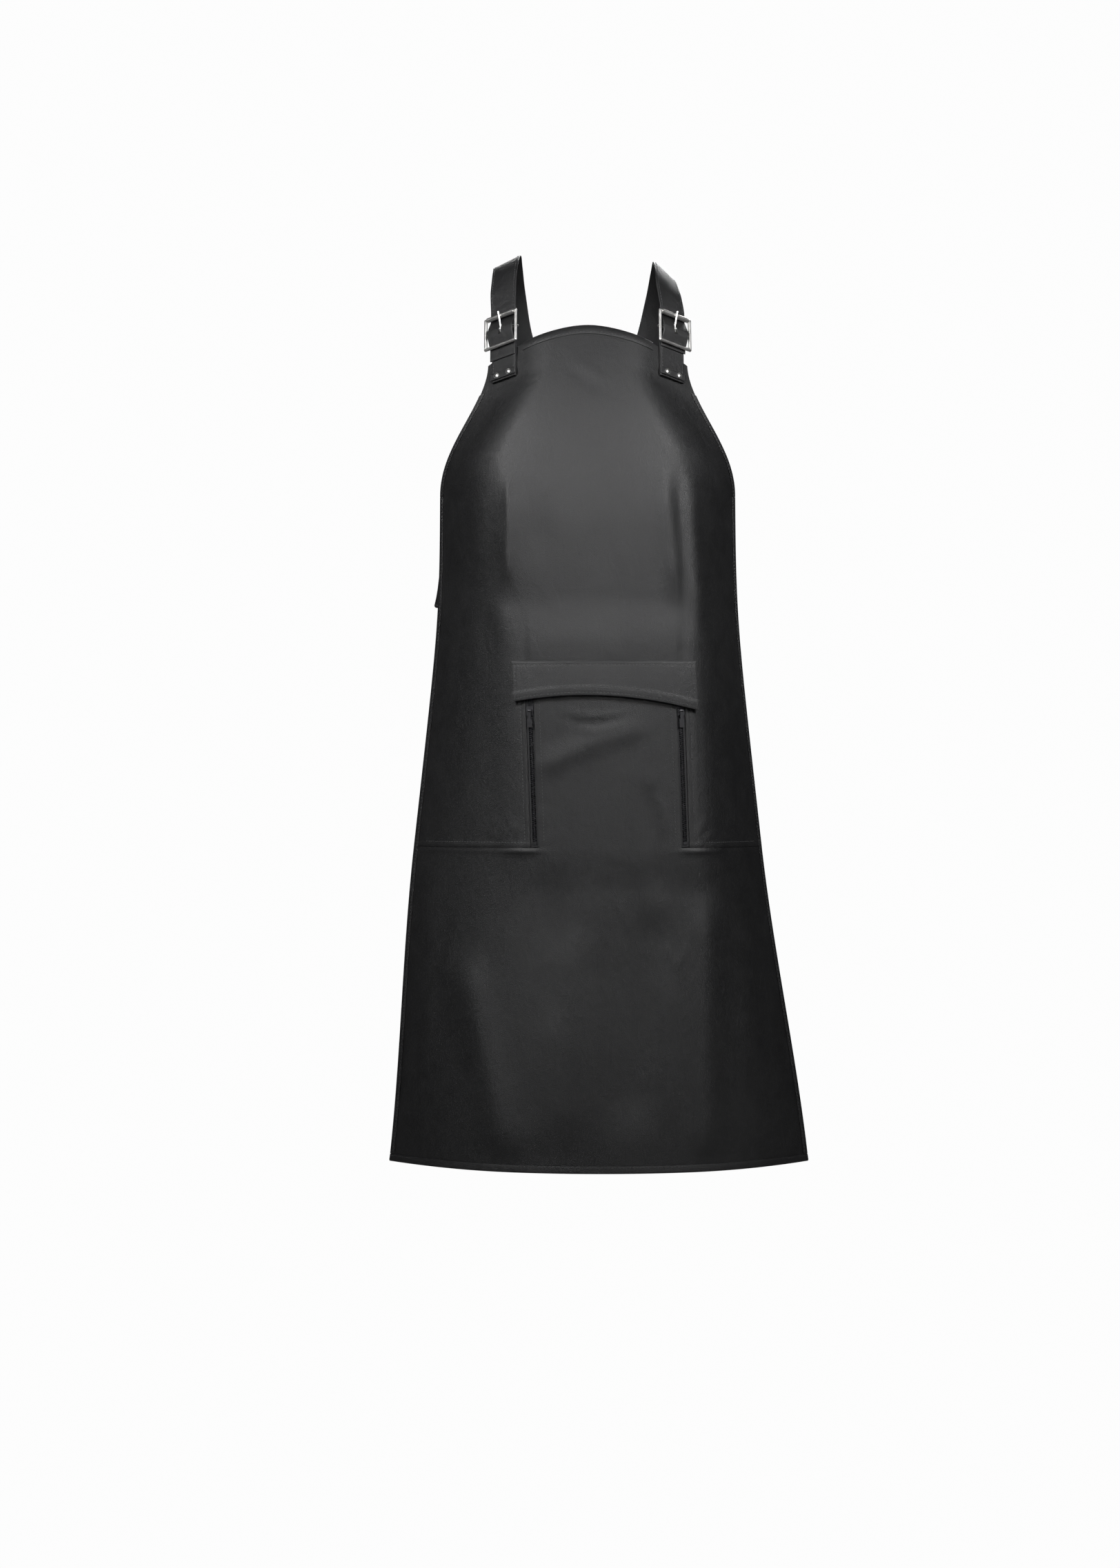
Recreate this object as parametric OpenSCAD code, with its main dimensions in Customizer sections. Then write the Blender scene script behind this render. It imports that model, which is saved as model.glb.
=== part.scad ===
// A bib apron of smooth black leather, worn: a full front that wraps round to the sides of the body,
// a waist band over a pocket panel with two upright zips, and two shoulder straps that cross at the back.
// The wearer faces -Y, +Z is up, +X is to the right of someone who looks at the front.
// z = 0 is the hem. All sizes are in millimetres.

/* [Apron outline] */
// Height of the two top corners above the hem
corner_z = 970; // [950:1:990]
// Height of the neckline's middle above the corners
neck_rise = 45; // [30:1:60]
// Half width of the bib at its top corners
corner_w = 119; // [112:1:126]
// Height of the foot of the arm scoops above the hem
arm_z = 812; // [790:1:818]
// Half width of the apron at the waist, seen from the front
waist_w = 176; // [168:1:186]
// Half width of the apron at the hem, seen from the front
hem_w = 253; // [230:1:270]
// Height below which the sides flare
flare_z = 675; // [640:1:700]
// How far the features of the front are turned off the middle of the outline at the top of the zips
turn_top = 17.6; // [0:0.1:22]
// How far they are turned at the foot of the zips
turn_foot = 25.9; // [0:0.1:30]
// How far they are turned at the hem
turn_hem = 0.8; // [0:0.1:10]
// Place of the outline's middle at the chest
chest_x = -13.8; // [-18:0.1:-8]
// Place of the outline's middle at the hem
hem_x = 0; // [-4:0.1:6]

/* [Apron as worn] */
// Place of the belly's front line, before the origin
belly_y = 126; // [120:1:132]
// How far the bib's top leans back towards the chest
chest_lean = 66; // [50:1:80]
// Height where the bib begins to lean back
lean_z = 760; // [740:1:780]
// How far the hem stands out before the belly
hem_out = 14; // [0:1:20]
// Radius of the front of the body
body_r = 320; // [300:5:360]
// How far the side edges lie behind the front line at the waist
waist_depth = 115; // [105:1:125]
// How far they lie behind it at the hem
hem_depth = 140; // [130:1:150]
// How far the edges would lie behind it at the foot of the flat top corners
corner_depth = 62; // [56:1:66]
// Height of the main folds
fold_h = 6; // [0:0.5:8]

/* [Layers] */
// Thickness of the lining
lining_t = 0.6; // [0.4:0.1:0.8]
// Thickness of the shielding core
core_t = 1.5; // [1:0.1:1.8]
// Thickness of the outer leather
leather_t = 1.2; // [1:0.1:1.4]
// Gap between two layers
layer_gap = 0.2; // [0.2:0.05:0.3]
// How far the pocket panel and the zips stand off the core
pocket_lift = 3.35; // [3.2:0.05:4]
// Gap at the butted seam between bib and skirt
seam_gap = 0.4; // [0.3:0.1:0.6]
// How far the core ends below the bib's top corners
core_margin = 37; // [30:1:45]

/* [Edge binding] */
// Width of the binding's lips
lip_w = 8; // [6:0.5:10]
// Wall of the binding
bind_t = 0.8; // [0.6:0.1:1]
// Clearance of the binding round the layers
bind_gap = 0.35; // [0.3:0.05:0.4]
// Half length of the neckline's binding, up to the straps
neck_bind_u = 76; // [70:1:77]

/* [Waist band and zips] */
// Height of the seam between bib and skirt
seam_z = 385; // [370:1:400]
// Height of the bib's free lower edge behind the band
bib_low_z = 602; // [596:1:606]
// How far the pocket panel runs up behind the bib
tongue_lap = 23; // [15:1:30]
// Height of the band's top edge
band_top_z = 608; // [606:1:612]
// Height of the band's free lower edge
band_low_z = 554; // [550:1:558]
// How far the band's lower edge arches up in its middle
band_arch = 12; // [6:0.5:16]
// How far the band's lower edge drops at its right end and rises at its left end
band_skew = 5; // [0:0.5:6]
// Half width of the band
band_w = 106; // [102:1:112]
// Thickness of the band
band_t = 1.4; // [1.2:0.1:1.8]
// How far the band's lower edge stands off more than its top edge
band_flare = 3.4; // [3:0.1:5]
// Distance of each zip from the middle of the front
zip_u = 88; // [84:1:92]
// Half width of the slot in the leather over a zip
slot_w = 5; // [4.8:0.1:6]
// Half width of a zip's tape
tape_w = 10; // [9:0.5:12]
// Thickness of a zip's tape
tape_t = 0.7; // [0.5:0.05:0.8]
// Half width of the closed teeth
teeth_w = 2.5; // [2:0.1:2.7]
// Thickness of the teeth
teeth_t = 2.5; // [2:0.1:2.6]
// Distance between two teeth
teeth_pitch = 2.5; // [2.4:0.1:4]
// Height of a slider's foot above the seam
slider_rise = 158; // [150:1:159]
// Length of a slider
slider_l = 11; // [10:0.5:12]
// Half width of a slider
slider_w = 4.3; // [4.1:0.1:4.5]
// Thickness of a slider's plates
slider_plate = 1; // [0.8:0.1:1.1]
// Length of a slider's pull
pull_l = 20; // [16:1:24]
// Thickness of a slider's pull
pull_t = 1; // [0.8:0.1:1.2]

/* [Straps] */
// Width of a shoulder strap
strap_w = 38; // [34:1:39]
// Thickness of a shoulder strap
strap_t = 2; // [1.6:0.1:2.2]
// How far the left strap's tail hangs out of its buckle
left_tail = 16; // [8:1:24]
// How far the right strap's tail hangs out of its buckle
right_tail = 5; // [4:1:16]
// Distance of a strap's middle from the middle of the bib
strap_u = 98; // [96:0.5:99]
// Height of the rivets, measured at the side edge
rivet_z = 943; // [940:1:946]
// Distance from the rivets up to the buckle's centre bar
tab_rise = 58; // [57:1:62]
// How far the strap ends lean in towards the neck, in degrees
strap_lean = 8; // [4:0.5:10]
// Thickness of one ply of the tab
tab_t = 1.6; // [1.4:0.1:1.8]
// Height of the cross strip that holds the tab
strip_h = 9; // [8:0.5:11]
// Distance between the two rivets
rivet_pitch = 18; // [14:0.5:20]
// Radius of a rivet's head
rivet_head_r = 3.6; // [3:0.1:4]
// Radius of a rivet's shank
rivet_r = 1.4; // [1.2:0.1:1.6]

/* [Buckles] */
// Half width of the buckle's frame, to the rails' middle
rail_u = 23; // [22:0.5:25]
// Half height of the buckle's frame, to the bars' middle
bar_v = 20; // [18.5:0.5:21]
// Radius of the frame's bars
bar_r = 2; // [1.8:0.1:2.1]
// Radius of the centre bar
pin_r = 1.75; // [1.5:0.05:1.8]
// How far the centre bar lies behind the frame
pin_drop = 3; // [2.8:0.1:3.4]
// Wall of the roller
roller_wall = 0.95; // [0.8:0.05:1.1]
// Radius of the prong
prong_r = 1.25; // [1:0.05:1.4]

/* [Hidden] */
LEFT = -1;
RIGHT = 1;
LEATHER = [0.05, 0.05, 0.055];
STRAP_BLACK = [0.09, 0.09, 0.1];
NICKEL = [0.8, 0.8, 0.78];
ZIP_BLACK = [0.12, 0.12, 0.13];
CLEAR = 0.3;
SIDES = 48;

// Depths of the layers, counted forward from the back of the lining
core_n = lining_t + layer_gap;
leather_n = core_n + core_t + layer_gap;
front_n = leather_n + leather_t;
tongue_top_z = bib_low_z + tongue_lap;
tape_gap = 0.35;
tape_n = leather_n + pocket_lift - tape_t / 2 - tape_gap;
lap_lift = leather_t + CLEAR;
bib_lap_front_n = front_n + pocket_lift + lap_lift;
band_n = bib_lap_front_n + CLEAR;

// ---- the shape of the worn apron ----
function smooth(t) = let (c = min(1, max(0, t))) c * c * (3 - 2 * c);
function mix(a, b, t) = a + (b - a) * t;
function unit(v) = v / norm(v);

// Half width of the outline: a cosine scoop under the arm, then a flare with a soft knee
flare_knee = 40;
flare_slope = (hem_w - waist_w) / flare_z;
function flare_half(z) = waist_w + flare_slope * flare_knee * ln(1 + exp((flare_z - z) / flare_knee));
function scoop_share(z) = (1 - cos(180 * pow((corner_z - z) / (corner_z - arm_z), 0.9))) / 2;
function outline_half(z) =
    z < arm_z ? flare_half(z) : mix(corner_w, flare_half(arm_z), scoop_share(z));

// Middle of the outline, and middle of the front's features, at height z
function outline_x(z) = mix(hem_x, chest_x, smooth(z / seam_z));
turn_slope = (turn_foot - turn_top) / (tongue_top_z - seam_z);
function turn(z) =
    z < seam_z ? mix(turn_hem, turn_foot, smooth(z / seam_z))
    : z < tongue_top_z ? turn_foot - turn_slope * (z - seam_z)
    : turn_top * (1 - smooth((z - tongue_top_z) / (arm_z - tongue_top_z)));
function middle_x(z) = outline_x(z) + turn(z);
function side_reach(side, z) = outline_half(z) + side * (outline_x(z) - middle_x(z));
function lip_reach(side, z) =
    let (
        pz = min(z, profile_top),
        reach = side_reach(side, pz),
        slope = slope_at(side_reach(side, z), reach, pz)
    )
    side_reach(side, z) - lip_w / sqrt(1 + slope * slope);

// Front line and depth of the side edges at height z. Above profile_top the profile stays the same,
// so that the top corners are flat where the strap ends sit.
profile_top = corner_z - core_margin;
neck_z = corner_z + neck_rise;
function front_y(z) =
    -belly_y
    + (z > lean_z ? chest_lean * pow((z - lean_z) / (neck_z - lean_z), 2) : 0)
    - (z < seam_z ? hem_out * smooth((seam_z - z) / seam_z) : 0);
function edge_depth(z) =
    z > arm_z ? mix(waist_depth, corner_depth, (z - arm_z) / (profile_top - arm_z))
    : z < flare_z ? mix(waist_depth, hem_depth, (flare_z - z) / flare_z)
    : waist_depth;

// Depth across the apron: an arc of the body's radius, a tighter wrap, and a straight stretch at
// the top corners, where the straps sit
corner_flat = 56;
wrap_room = 65;
function flat_w(z) = corner_flat * smooth((z - arm_z) / (profile_top - arm_z));
function wrap_u(reach, z) = min(zip_u + 12, reach - wrap_room - flat_w(z) / 3);
function wrap_q(reach, z) =
    let (
        w = wrap_u(reach, z),
        flat = flat_w(z),
        bend = reach - flat - w,
        left_over = edge_depth(z) - w * w / (2 * body_r) - (reach - w) * w / body_r
    )
    left_over / (bend * bend + 2 * bend * flat);
function depth_at(u, reach, z) =
    let (
        w = wrap_u(reach, z),
        q = wrap_q(reach, z),
        bend = reach - flat_w(z) - w,
        a = min(max(u - w, 0), bend),
        b = max(u - w - bend, 0),
        arc = min(u, w)
    )
    arc * arc / (2 * body_r) + w / body_r * max(u - w, 0) + q * a * a + 2 * q * a * b;
function slope_at(u, reach, z) =
    let (w = wrap_u(reach, z), a = min(max(u - w, 0), reach - flat_w(z) - w))
    min(u, w) / body_r + 2 * wrap_q(reach, z) * a;

// Main folds: rounded ridges (height > 0) and valleys along lines [x, z, x, z, half width, height share],
// with x counted from the middle of the chest
FOLDS = [
    [-94, 850, -94, 700, 13, 1.0],
    [-103, 700, -99, 640, 12, 0.5],
    [85, 850, 103, 690, 13, 1.0],
    [121, 850, 131, 660, 12, 0.9],
    [-156, 270, -95, 20, 22, 1.0],
    [139, 340, 139, 20, 18, 0.8],
    [77, 330, 49, 60, 24, -0.7],
    [-21, 300, -36, 40, 26, 0.5]
];
function fold_one(f, x, z) =
    let (
        d = [f[2] - f[0], f[3] - f[1]],
        l = norm(d),
        s = ([x - f[0], z - f[1]] * d) / l,
        off = abs((x - f[0]) * d[1] - (z - f[1]) * d[0]) / l,
        along = smooth(s / 60) * smooth((l - s + 25) / 60)
    )
    off > 3 * f[4] ? 0 : f[5] * along * exp(-off * off / (f[4] * f[4]));
function fold_at(x, z) = fold_h * smooth(z / 30) * sum([for (f = FOLDS) fold_one(f, x - chest_x, z)]);
function sum(list, i = 0) = i < len(list) ? list[i] + sum(list, i + 1) : 0;

// A point of the worn shape: signed distance u from the front's middle, row height z at the side
// edge, depth n forward of the lining's back
function row_z(c, z) =
    z > arm_z ? z + neck_rise * (z - arm_z) / (corner_z - arm_z) * (1 - pow(c, 1.8)) : z;
function worn(us, z, n) =
    let (
        side = us < 0 ? LEFT : RIGHT,
        u = abs(us),
        reach = side_reach(side, z),
        zz = row_z(u / reach, z),
        x = middle_x(z) + us,
        pz = min(z, profile_top),
        preach = side_reach(side, pz),
        slope = slope_at(u, preach, pz),
        k = n / sqrt(1 + slope * slope)
    )
    [x + side * slope * k, front_y(zz) + depth_at(u, preach, pz) - k - fold_at(x, zz), zz];

// ---- the lattice that every layer shares ----
INNER_U = [
    0, zip_u / 4, zip_u / 2, zip_u * 3 / 4, zip_u - slot_w, zip_u, zip_u + slot_w, zip_u + tape_w + 2
];
OUTER_SHARES = [0.25, 0.5, 0.75];
EDGE = len(INNER_U) + len(OUTER_SHARES) + 1;
TONGUE_COL = 4;
SLOT_COL = 6;
INNER_COL = 7;
function spread(a, b, count) = [for (k = [1:count]) mix(a, b, k / count)];
ROWS = concat(
    [0, lip_w], spread(lip_w, seam_z, 7), spread(seam_z, bib_low_z, 4), [tongue_top_z],
    spread(tongue_top_z, arm_z, 4), spread(arm_z, corner_z - core_margin, 3),
    [corner_z - lip_w, corner_z]
);
SEAM_ROW = 8;
BIB_LOW_ROW = 12;
TONGUE_ROW = 13;
ARM_ROW = 17;
CORE_ROW = 20;
TOP_ROW = 22;
function column_u(i, z) =
    let (
        side = i < 0 ? LEFT : RIGHT,
        k = abs(i),
        reach = side_reach(side, z),
        last = INNER_U[INNER_COL]
    )
    side * (k <= INNER_COL ? INNER_U[k]
        : k < EDGE - 1 ? mix(last, lip_reach(side, z), OUTER_SHARES[k - INNER_COL - 1])
        : k == EDGE - 1 ? lip_reach(side, z)
        : reach);
function lattice(i, j, n) = worn(column_u(i, ROWS[j]), ROWS[j], n);

// How much a leather layer stands off the core at column i, row j
lift_fade_u = 45;
lift_fade_z = 60;
function lift_at(us, z) =
    pocket_lift * smooth(1 - (abs(us) - zip_u - tape_w) / lift_fade_u)
    * smooth((z - seam_z + lift_fade_z) / lift_fade_z) * smooth(1 - (z - tongue_top_z) / lift_fade_z);
function lap_at(us, z) =
    lap_lift * smooth(1 - (abs(us) - zip_u + slot_w) / (2 * slot_w))
    * smooth(1 - (z - tongue_top_z) / lift_fade_z);

// A closed sheet over the kept cells of the lattice. pts holds the back layer, then the front one.
COLS = 2 * EDGE + 1;
LAYER = COLS * (TOP_ROW + 1);
function at(i, j, layer) = layer * LAYER + j * COLS + i + EDGE;
function quad(a, b, c, d) = [[a, b, c], [a, c, d]];
function flat_list(lists) = [for (l = lists) for (x = l) x];
function skin(a, b, c, d, i) = i < 0 ? quad(b, c, d, a) : quad(a, b, c, d);
function cells(keep) =
    flat_list(flat_list([for (j = [0:TOP_ROW - 1], i = [-EDGE:EDGE - 1]) if (keep(i, j)) [
        skin(at(i, j, 1), at(i, j + 1, 1), at(i + 1, j + 1, 1), at(i + 1, j, 1), i),
        skin(at(i, j, 0), at(i + 1, j, 0), at(i + 1, j + 1, 0), at(i, j + 1, 0), i),
        keep(i, j - 1) ? [] : quad(at(i, j, 1), at(i + 1, j, 1), at(i + 1, j, 0), at(i, j, 0)),
        keep(i, j + 1) ? [] : quad(at(i, j + 1, 0), at(i + 1, j + 1, 0), at(i + 1, j + 1, 1), at(i, j + 1, 1)),
        keep(i - 1, j) ? [] : quad(at(i, j, 0), at(i, j + 1, 0), at(i, j + 1, 1), at(i, j, 1)),
        keep(i + 1, j) ? [] : quad(at(i + 1, j, 1), at(i + 1, j + 1, 1), at(i + 1, j + 1, 0), at(i + 1, j, 0))
    ]]));
function sheet_points(low, high) = flat_list([for (n = [low, high])
    [for (j = [0:TOP_ROW], i = [-EDGE:EDGE]) n(i, j)]]);
module sheet(low, high, keep) {
    polyhedron(points = sheet_points(low, high), faces = cells(keep), convexity = 10);
}
function within(i, j, cols, low, high) = i >= -cols && i < cols && j >= low && j < high;
function in_bib(i, j) =
    within(i, j, EDGE, SEAM_ROW, TOP_ROW) && !within(i, j, SLOT_COL, SEAM_ROW, BIB_LOW_ROW);
function in_skirt(i, j) =
    within(i, j, EDGE, 0, SEAM_ROW) || within(i, j, TONGUE_COL, SEAM_ROW, TONGUE_ROW);
function bib_point(i, j, t) =
    let (
        u = column_u(i, ROWS[j]),
        n = leather_n + lift_at(u, ROWS[j]) + (j >= BIB_LOW_ROW ? lap_at(u, ROWS[j]) : 0)
    )
    lattice(i, j, n + t) + [0, 0, j == SEAM_ROW ? seam_gap / 2 : 0];
function skirt_point(i, j, t) =
    lattice(i, j, leather_n + lift_at(column_u(i, ROWS[j]), ROWS[j]) + t)
    - [0, 0, j == SEAM_ROW && abs(i) > TONGUE_COL ? seam_gap / 2 : 0];

// ---- edge bindings ----
// Ring of a folded strip at one station: inner(n) gives the lips' edge, outer(n) the sheet's edge
function bind_ring(inner, outer, front) =
    let (
        out = unit(outer(0) - inner(0)),
        near = out * bind_gap,
        far = out * (bind_gap + bind_t),
        f0 = front + bind_gap,
        f1 = f0 + bind_t,
        b0 = -bind_gap,
        b1 = b0 - bind_t
    )
    [inner(f1), outer(f1) + far, outer(b1) + far, inner(b1),
     inner(b0), outer(b0) + near, outer(f0) + near, inner(f0)];
function wall_faces(m, count) = flat_list([for (k = [0:count - 2], e = [0:m - 1])
    quad(k * m + e, k * m + (e + 1) % m, (k + 1) * m + (e + 1) % m, (k + 1) * m + e)]);
function bind_cap(base, turned) = flat_list([for (q = [[0, 1, 6, 7], [1, 2, 5, 6], [2, 3, 4, 5]])
    turned ? quad(base + q[3], base + q[2], base + q[1], base + q[0])
           : quad(base + q[0], base + q[1], base + q[2], base + q[3])]);
// The walls' diagonals run as the lattice's do: side_of(k) says which half station k begins
function bind_walls(count, side_of) = flat_list([for (k = [0:count - 2], e = [0:7])
    let (a = 8 * k + e, b = 8 * k + (e + 1) % 8, turned = side_of(k) == RIGHT ? e % 4 == 0 : e % 4 == 2)
    turned ? quad(b, b + 8, a + 8, a) : quad(a, b, b + 8, a + 8)]);
module binding(rings, side_of) {
    count = len(rings);
    faces = concat(bind_walls(count, side_of), bind_cap(0, true), bind_cap(8 * (count - 1), false));
    polyhedron(points = flat_list(rings), faces = faces, convexity = 10);
}
function row_ring(us, edge_row, lip_row, front) = bind_ring(
    function(n) worn(us, ROWS[lip_row], n), function(n) worn(us, ROWS[edge_row], n), front);
function side_ring(side, z, front) = bind_ring(
    function(n) worn(side * lip_reach(side, z), z, n),
    function(n) worn(side * side_reach(side, z), z, n), front);
function mirrored_list(list) = [for (k = [len(list) - 1:-1:1]) -list[k]];

module neckline_binding() {
    us = [INNER_U[1], INNER_U[2], INNER_U[3], neck_bind_u];
    stations = concat([for (k = [3:-1:0]) -us[k]], [0], us);
    color(LEATHER) binding([for (u = stations) row_ring(u, TOP_ROW, TOP_ROW - 1, front_n)],
        function(k) stations[k] < 0 ? RIGHT : LEFT);
}
module hem_binding() {
    color(LEATHER)
        binding([for (i = [EDGE:-1:-EDGE]) bind_ring(
            function(n) lattice(i, 1, n), function(n) lattice(i, 0, n), front_n)],
            function(k) k < EDGE ? LEFT : RIGHT);
}
module edge_strip(side, heights) {
    order = side == RIGHT ? [for (k = [len(heights) - 1:-1:0]) heights[k]] : heights;
    binding([for (z = order) side_ring(side, z, front_n)], function(k) side);
}
function rows_between(low, high) = [for (j = [low:high]) ROWS[j]];
module side_binding(side) {
    inner_rows = rows_between(2, ARM_ROW - 1);
    color(LEATHER)
        edge_strip(side, concat([lip_w + seam_gap], inner_rows, [arm_z - seam_gap / 2]));
}
module arm_binding(side) {
    inner_rows = rows_between(ARM_ROW + 1, CORE_ROW - 1);
    color(LEATHER)
        edge_strip(side, concat([arm_z + seam_gap / 2], inner_rows, [corner_z - core_margin]));
}
module left_arm_binding() { arm_binding(LEFT); }
module right_arm_binding() { arm_binding(RIGHT); }
module left_side_binding() { side_binding(LEFT); }
module right_side_binding() { side_binding(RIGHT); }

// ---- the sheets ----
module bib_panel() {
    color(LEATHER)
        sheet(function(i, j) bib_point(i, j, 0), function(i, j) bib_point(i, j, leather_t),
            function(i, j) in_bib(i, j));
}
module skirt_panel() {
    color([0.06, 0.06, 0.065])
        sheet(function(i, j) skirt_point(i, j, 0), function(i, j) skirt_point(i, j, leather_t),
            function(i, j) in_skirt(i, j));
}
module shielding_core() {
    color("dimgray")
        sheet(function(i, j) lattice(i, j, core_n), function(i, j) lattice(i, j, core_n + core_t),
            function(i, j) within(i, j, EDGE - 1, 1, CORE_ROW));
}
module lining() {
    color([0.2, 0.2, 0.22])
        sheet(function(i, j) lattice(i, j, 0), function(i, j) lattice(i, j, lining_t),
            function(i, j) within(i, j, EDGE, 0, TOP_ROW));
}

// ---- the waist band ----
// Its lower edge arches up in the middle and drops a little towards its right end.
band_us = [0, 22, 44, 66, 88, band_w];
band_shares = [1, 0.6, 0.2, 0];
function band_low(us) = let (c = us / band_w) band_low_z + band_arch * (1 - c * c) - band_skew * c;
function band_point(us, share, t) =
    worn(us, mix(band_top_z, band_low(us), share), band_n + band_flare * sqrt(share) + t);
module front_band() {
    us = concat(mirrored_list(band_us), band_us);
    columns = len(us);
    last = len(band_shares) - 1;
    points = flat_list([for (t = [0, band_t]) [for (share = band_shares, u = us) band_point(u, share, t)]]);
    layer = columns * len(band_shares);
    faces = flat_list(flat_list([for (j = [0:last - 1], i = [0:columns - 2])
        let (a = j * columns + i, b = a + 1, c = b + columns, d = a + columns) [
            quad(layer + a, layer + d, layer + c, layer + b),
            quad(a, b, c, d),
            j > 0 ? [] : quad(layer + a, layer + b, b, a),
            j < last - 1 ? [] : quad(d, c, layer + c, layer + d),
            i > 0 ? [] : quad(a, d, layer + d, layer + a),
            i < columns - 2 ? [] : quad(layer + b, layer + c, c, b)
        ]]));
    color(LEATHER) polyhedron(points = points, faces = faces, convexity = 6);
}

// ---- zips: drawn upright, teeth along +Z from the seam, front towards -Y ----
zip_lean = atan(turn_slope);
zip_yaw = atan(zip_u / body_r);
tape_foot = 1;
teeth_foot = 7;
slider_plane = teeth_t / 2 + 0.25;
slider_front = slider_plane + slider_plate;
post_h = 3.5;
teeth_top = slider_rise + slider_l - post_h - 1;
stop_h = 3;
tape_top = slider_rise + slider_l + stop_h + 12;
hinge_f = slider_front + 1.7;
module on_zip(side) {
    translate(worn(side * zip_u, seam_z, 0))
        rotate([0, -zip_lean, 0])
            rotate([0, 0, side * zip_yaw])
                translate([0, -tape_n, 0]) children();
}
module block(x0, x1, y0, y1, z0, z1) {
    translate([x0, y0, z0]) cube([x1 - x0, y1 - y0, z1 - z0]);
}
module zip_tape(side) {
    color(ZIP_BLACK) on_zip(side) {
        for (s = [LEFT, RIGHT]) {
            edge = teeth_w + 0.05;
            block(s < 0 ? -tape_w : edge, s < 0 ? -edge : tape_w, -tape_t / 2, tape_t / 2, tape_foot, tape_top);
        }
        block(-edge_in(), edge_in(), -tape_t / 2, tape_t / 2, tape_foot, teeth_foot - 4);
    }
}
function edge_in() = teeth_w + 0.06;
module zip_teeth(side) {
    count = floor((teeth_top - teeth_foot) / teeth_pitch);
    color("dimgray") on_zip(side) {
        block(-teeth_w * 0.6, teeth_w * 0.6, -teeth_t * 0.36, teeth_t * 0.36, teeth_foot, teeth_top);
        for (k = [0:count - 1])
            block(-teeth_w, teeth_w, -teeth_t / 2, teeth_t / 2,
                teeth_foot + k * teeth_pitch, teeth_foot + k * teeth_pitch + teeth_pitch * 0.6);
    }
}
module zip_stops(side) {
    color("gray") on_zip(side) {
        block(-teeth_w, teeth_w, -teeth_t / 2, teeth_t / 2, teeth_foot - 3.5, teeth_foot - 0.1);
        for (s = [LEFT, RIGHT])
            translate([s * (teeth_w + 1.05), 0, slider_rise + slider_l + 0.3]) difference() {
                block(-0.9, 0.9, -teeth_t / 2, teeth_t / 2, 0, stop_h);
                block(-1, 1, -tape_t / 2 - 0.02, tape_t / 2 + 0.02, -1, stop_h + 1);
            }
    }
}
module zip_slider(side) {
    flange_in = teeth_w + 0.5;
    color("gray") on_zip(side) translate([0, 0, slider_rise]) {
        for (f = [LEFT, RIGHT]) {
            y0 = f < 0 ? -slider_front : slider_plane;
            block(-slider_w, slider_w, y0, y0 + slider_plate, 0, slider_l);
            for (s = [LEFT, RIGHT]) {
                x0 = s < 0 ? -slider_w : flange_in;
                x1 = s < 0 ? -flange_in : slider_w;
                g0 = f < 0 ? -slider_plane - 0.01 : tape_t / 2 + 0.3;
                g1 = f < 0 ? -tape_t / 2 - 0.3 : slider_plane + 0.01;
                block(x0, x1, g0, g1, 0, slider_l - post_h);
            }
        }
        block(-1.5, 1.5, -slider_plane - 0.01, slider_plane + 0.01, slider_l - post_h, slider_l);
        for (s = [LEFT, RIGHT])
            block(s * 2.5 - 0.5, s * 2.5 + 0.5, -hinge_f - 1.2, -slider_front + 0.01, slider_l / 2 - 1.2, slider_l / 2 + 1.2);
        translate([0, -hinge_f, slider_l / 2]) rotate([0, 90, 0])
            cylinder(h = 5.5, r = 0.6, center = true, $fn = SIDES);
    }
}
module zip_pull(side) {
    half = 1.7;
    eye_r = 1.45;
    color("gray") on_zip(side) translate([0, -hinge_f, slider_rise + slider_l / 2]) difference() {
        union() {
            rotate([0, 90, 0]) cylinder(h = 2 * half, r = eye_r, center = true, $fn = SIDES);
            block(-half, half, -pull_t / 2, pull_t / 2, -pull_l, 0);
            translate([0, 0, -pull_l + 6])
                block(-half - 1.3, half + 1.3, -pull_t / 2, pull_t / 2, -6, 4);
        }
        rotate([0, 90, 0]) cylinder(h = 10, r = 0.85, center = true, $fn = SIDES);
    }
}

// ---- strap ends: drawn flat at the right corner, x across, y up the strap, z out of the bib ----
// The frame lies on the bib's corner, leaned by strap_lean with its top towards the neck; the left
// end is its mirror image.
anchor = worn(strap_u, rivet_z, front_n);
level = unit(worn(strap_u + 1, rivet_z, front_n) - anchor);
outward = unit(cross(level, worn(strap_u, rivet_z + 1, front_n) - anchor));
rise = cross(outward, level);
across = cos(strap_lean) * level + sin(strap_lean) * rise;
upward = cos(strap_lean) * rise - sin(strap_lean) * level;
END_FRAME = [
    [across[0], upward[0], outward[0], anchor[0]],
    [across[1], upward[1], outward[1], anchor[1]],
    [across[2], upward[2], outward[2], anchor[2]],
    [0, 0, 0, 1]
];
module on_end(side) {
    if (side == RIGHT) multmatrix(END_FRAME) children();
    else translate([2 * chest_x, 0, 0]) mirror([1, 0, 0]) multmatrix(END_FRAME) children();
}
function to_end(p) = [for (r = [0:2]) END_FRAME[r] * [p[0], p[1], p[2], 1]];

// Depths along the strap end, out from the bib's leather
rear_ply = CLEAR;
front_ply = rear_ply + tab_t + layer_gap;
strip_n = front_ply + tab_t + CLEAR;
tail_n = front_ply + tab_t + layer_gap;
bar_clear = 1.2;
frame_n = tail_n + strap_t + bar_clear + bar_r;
pin_n = frame_n - pin_drop;
roller_r = bar_r + 0.05 + roller_wall;
loop_in = pin_r + 0.2;
loop_mid = loop_in + tab_t / 2;
over_n = pin_n + loop_in + tab_t + 0.25;
top_n = frame_n - roller_r - bar_clear - strap_t;

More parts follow.
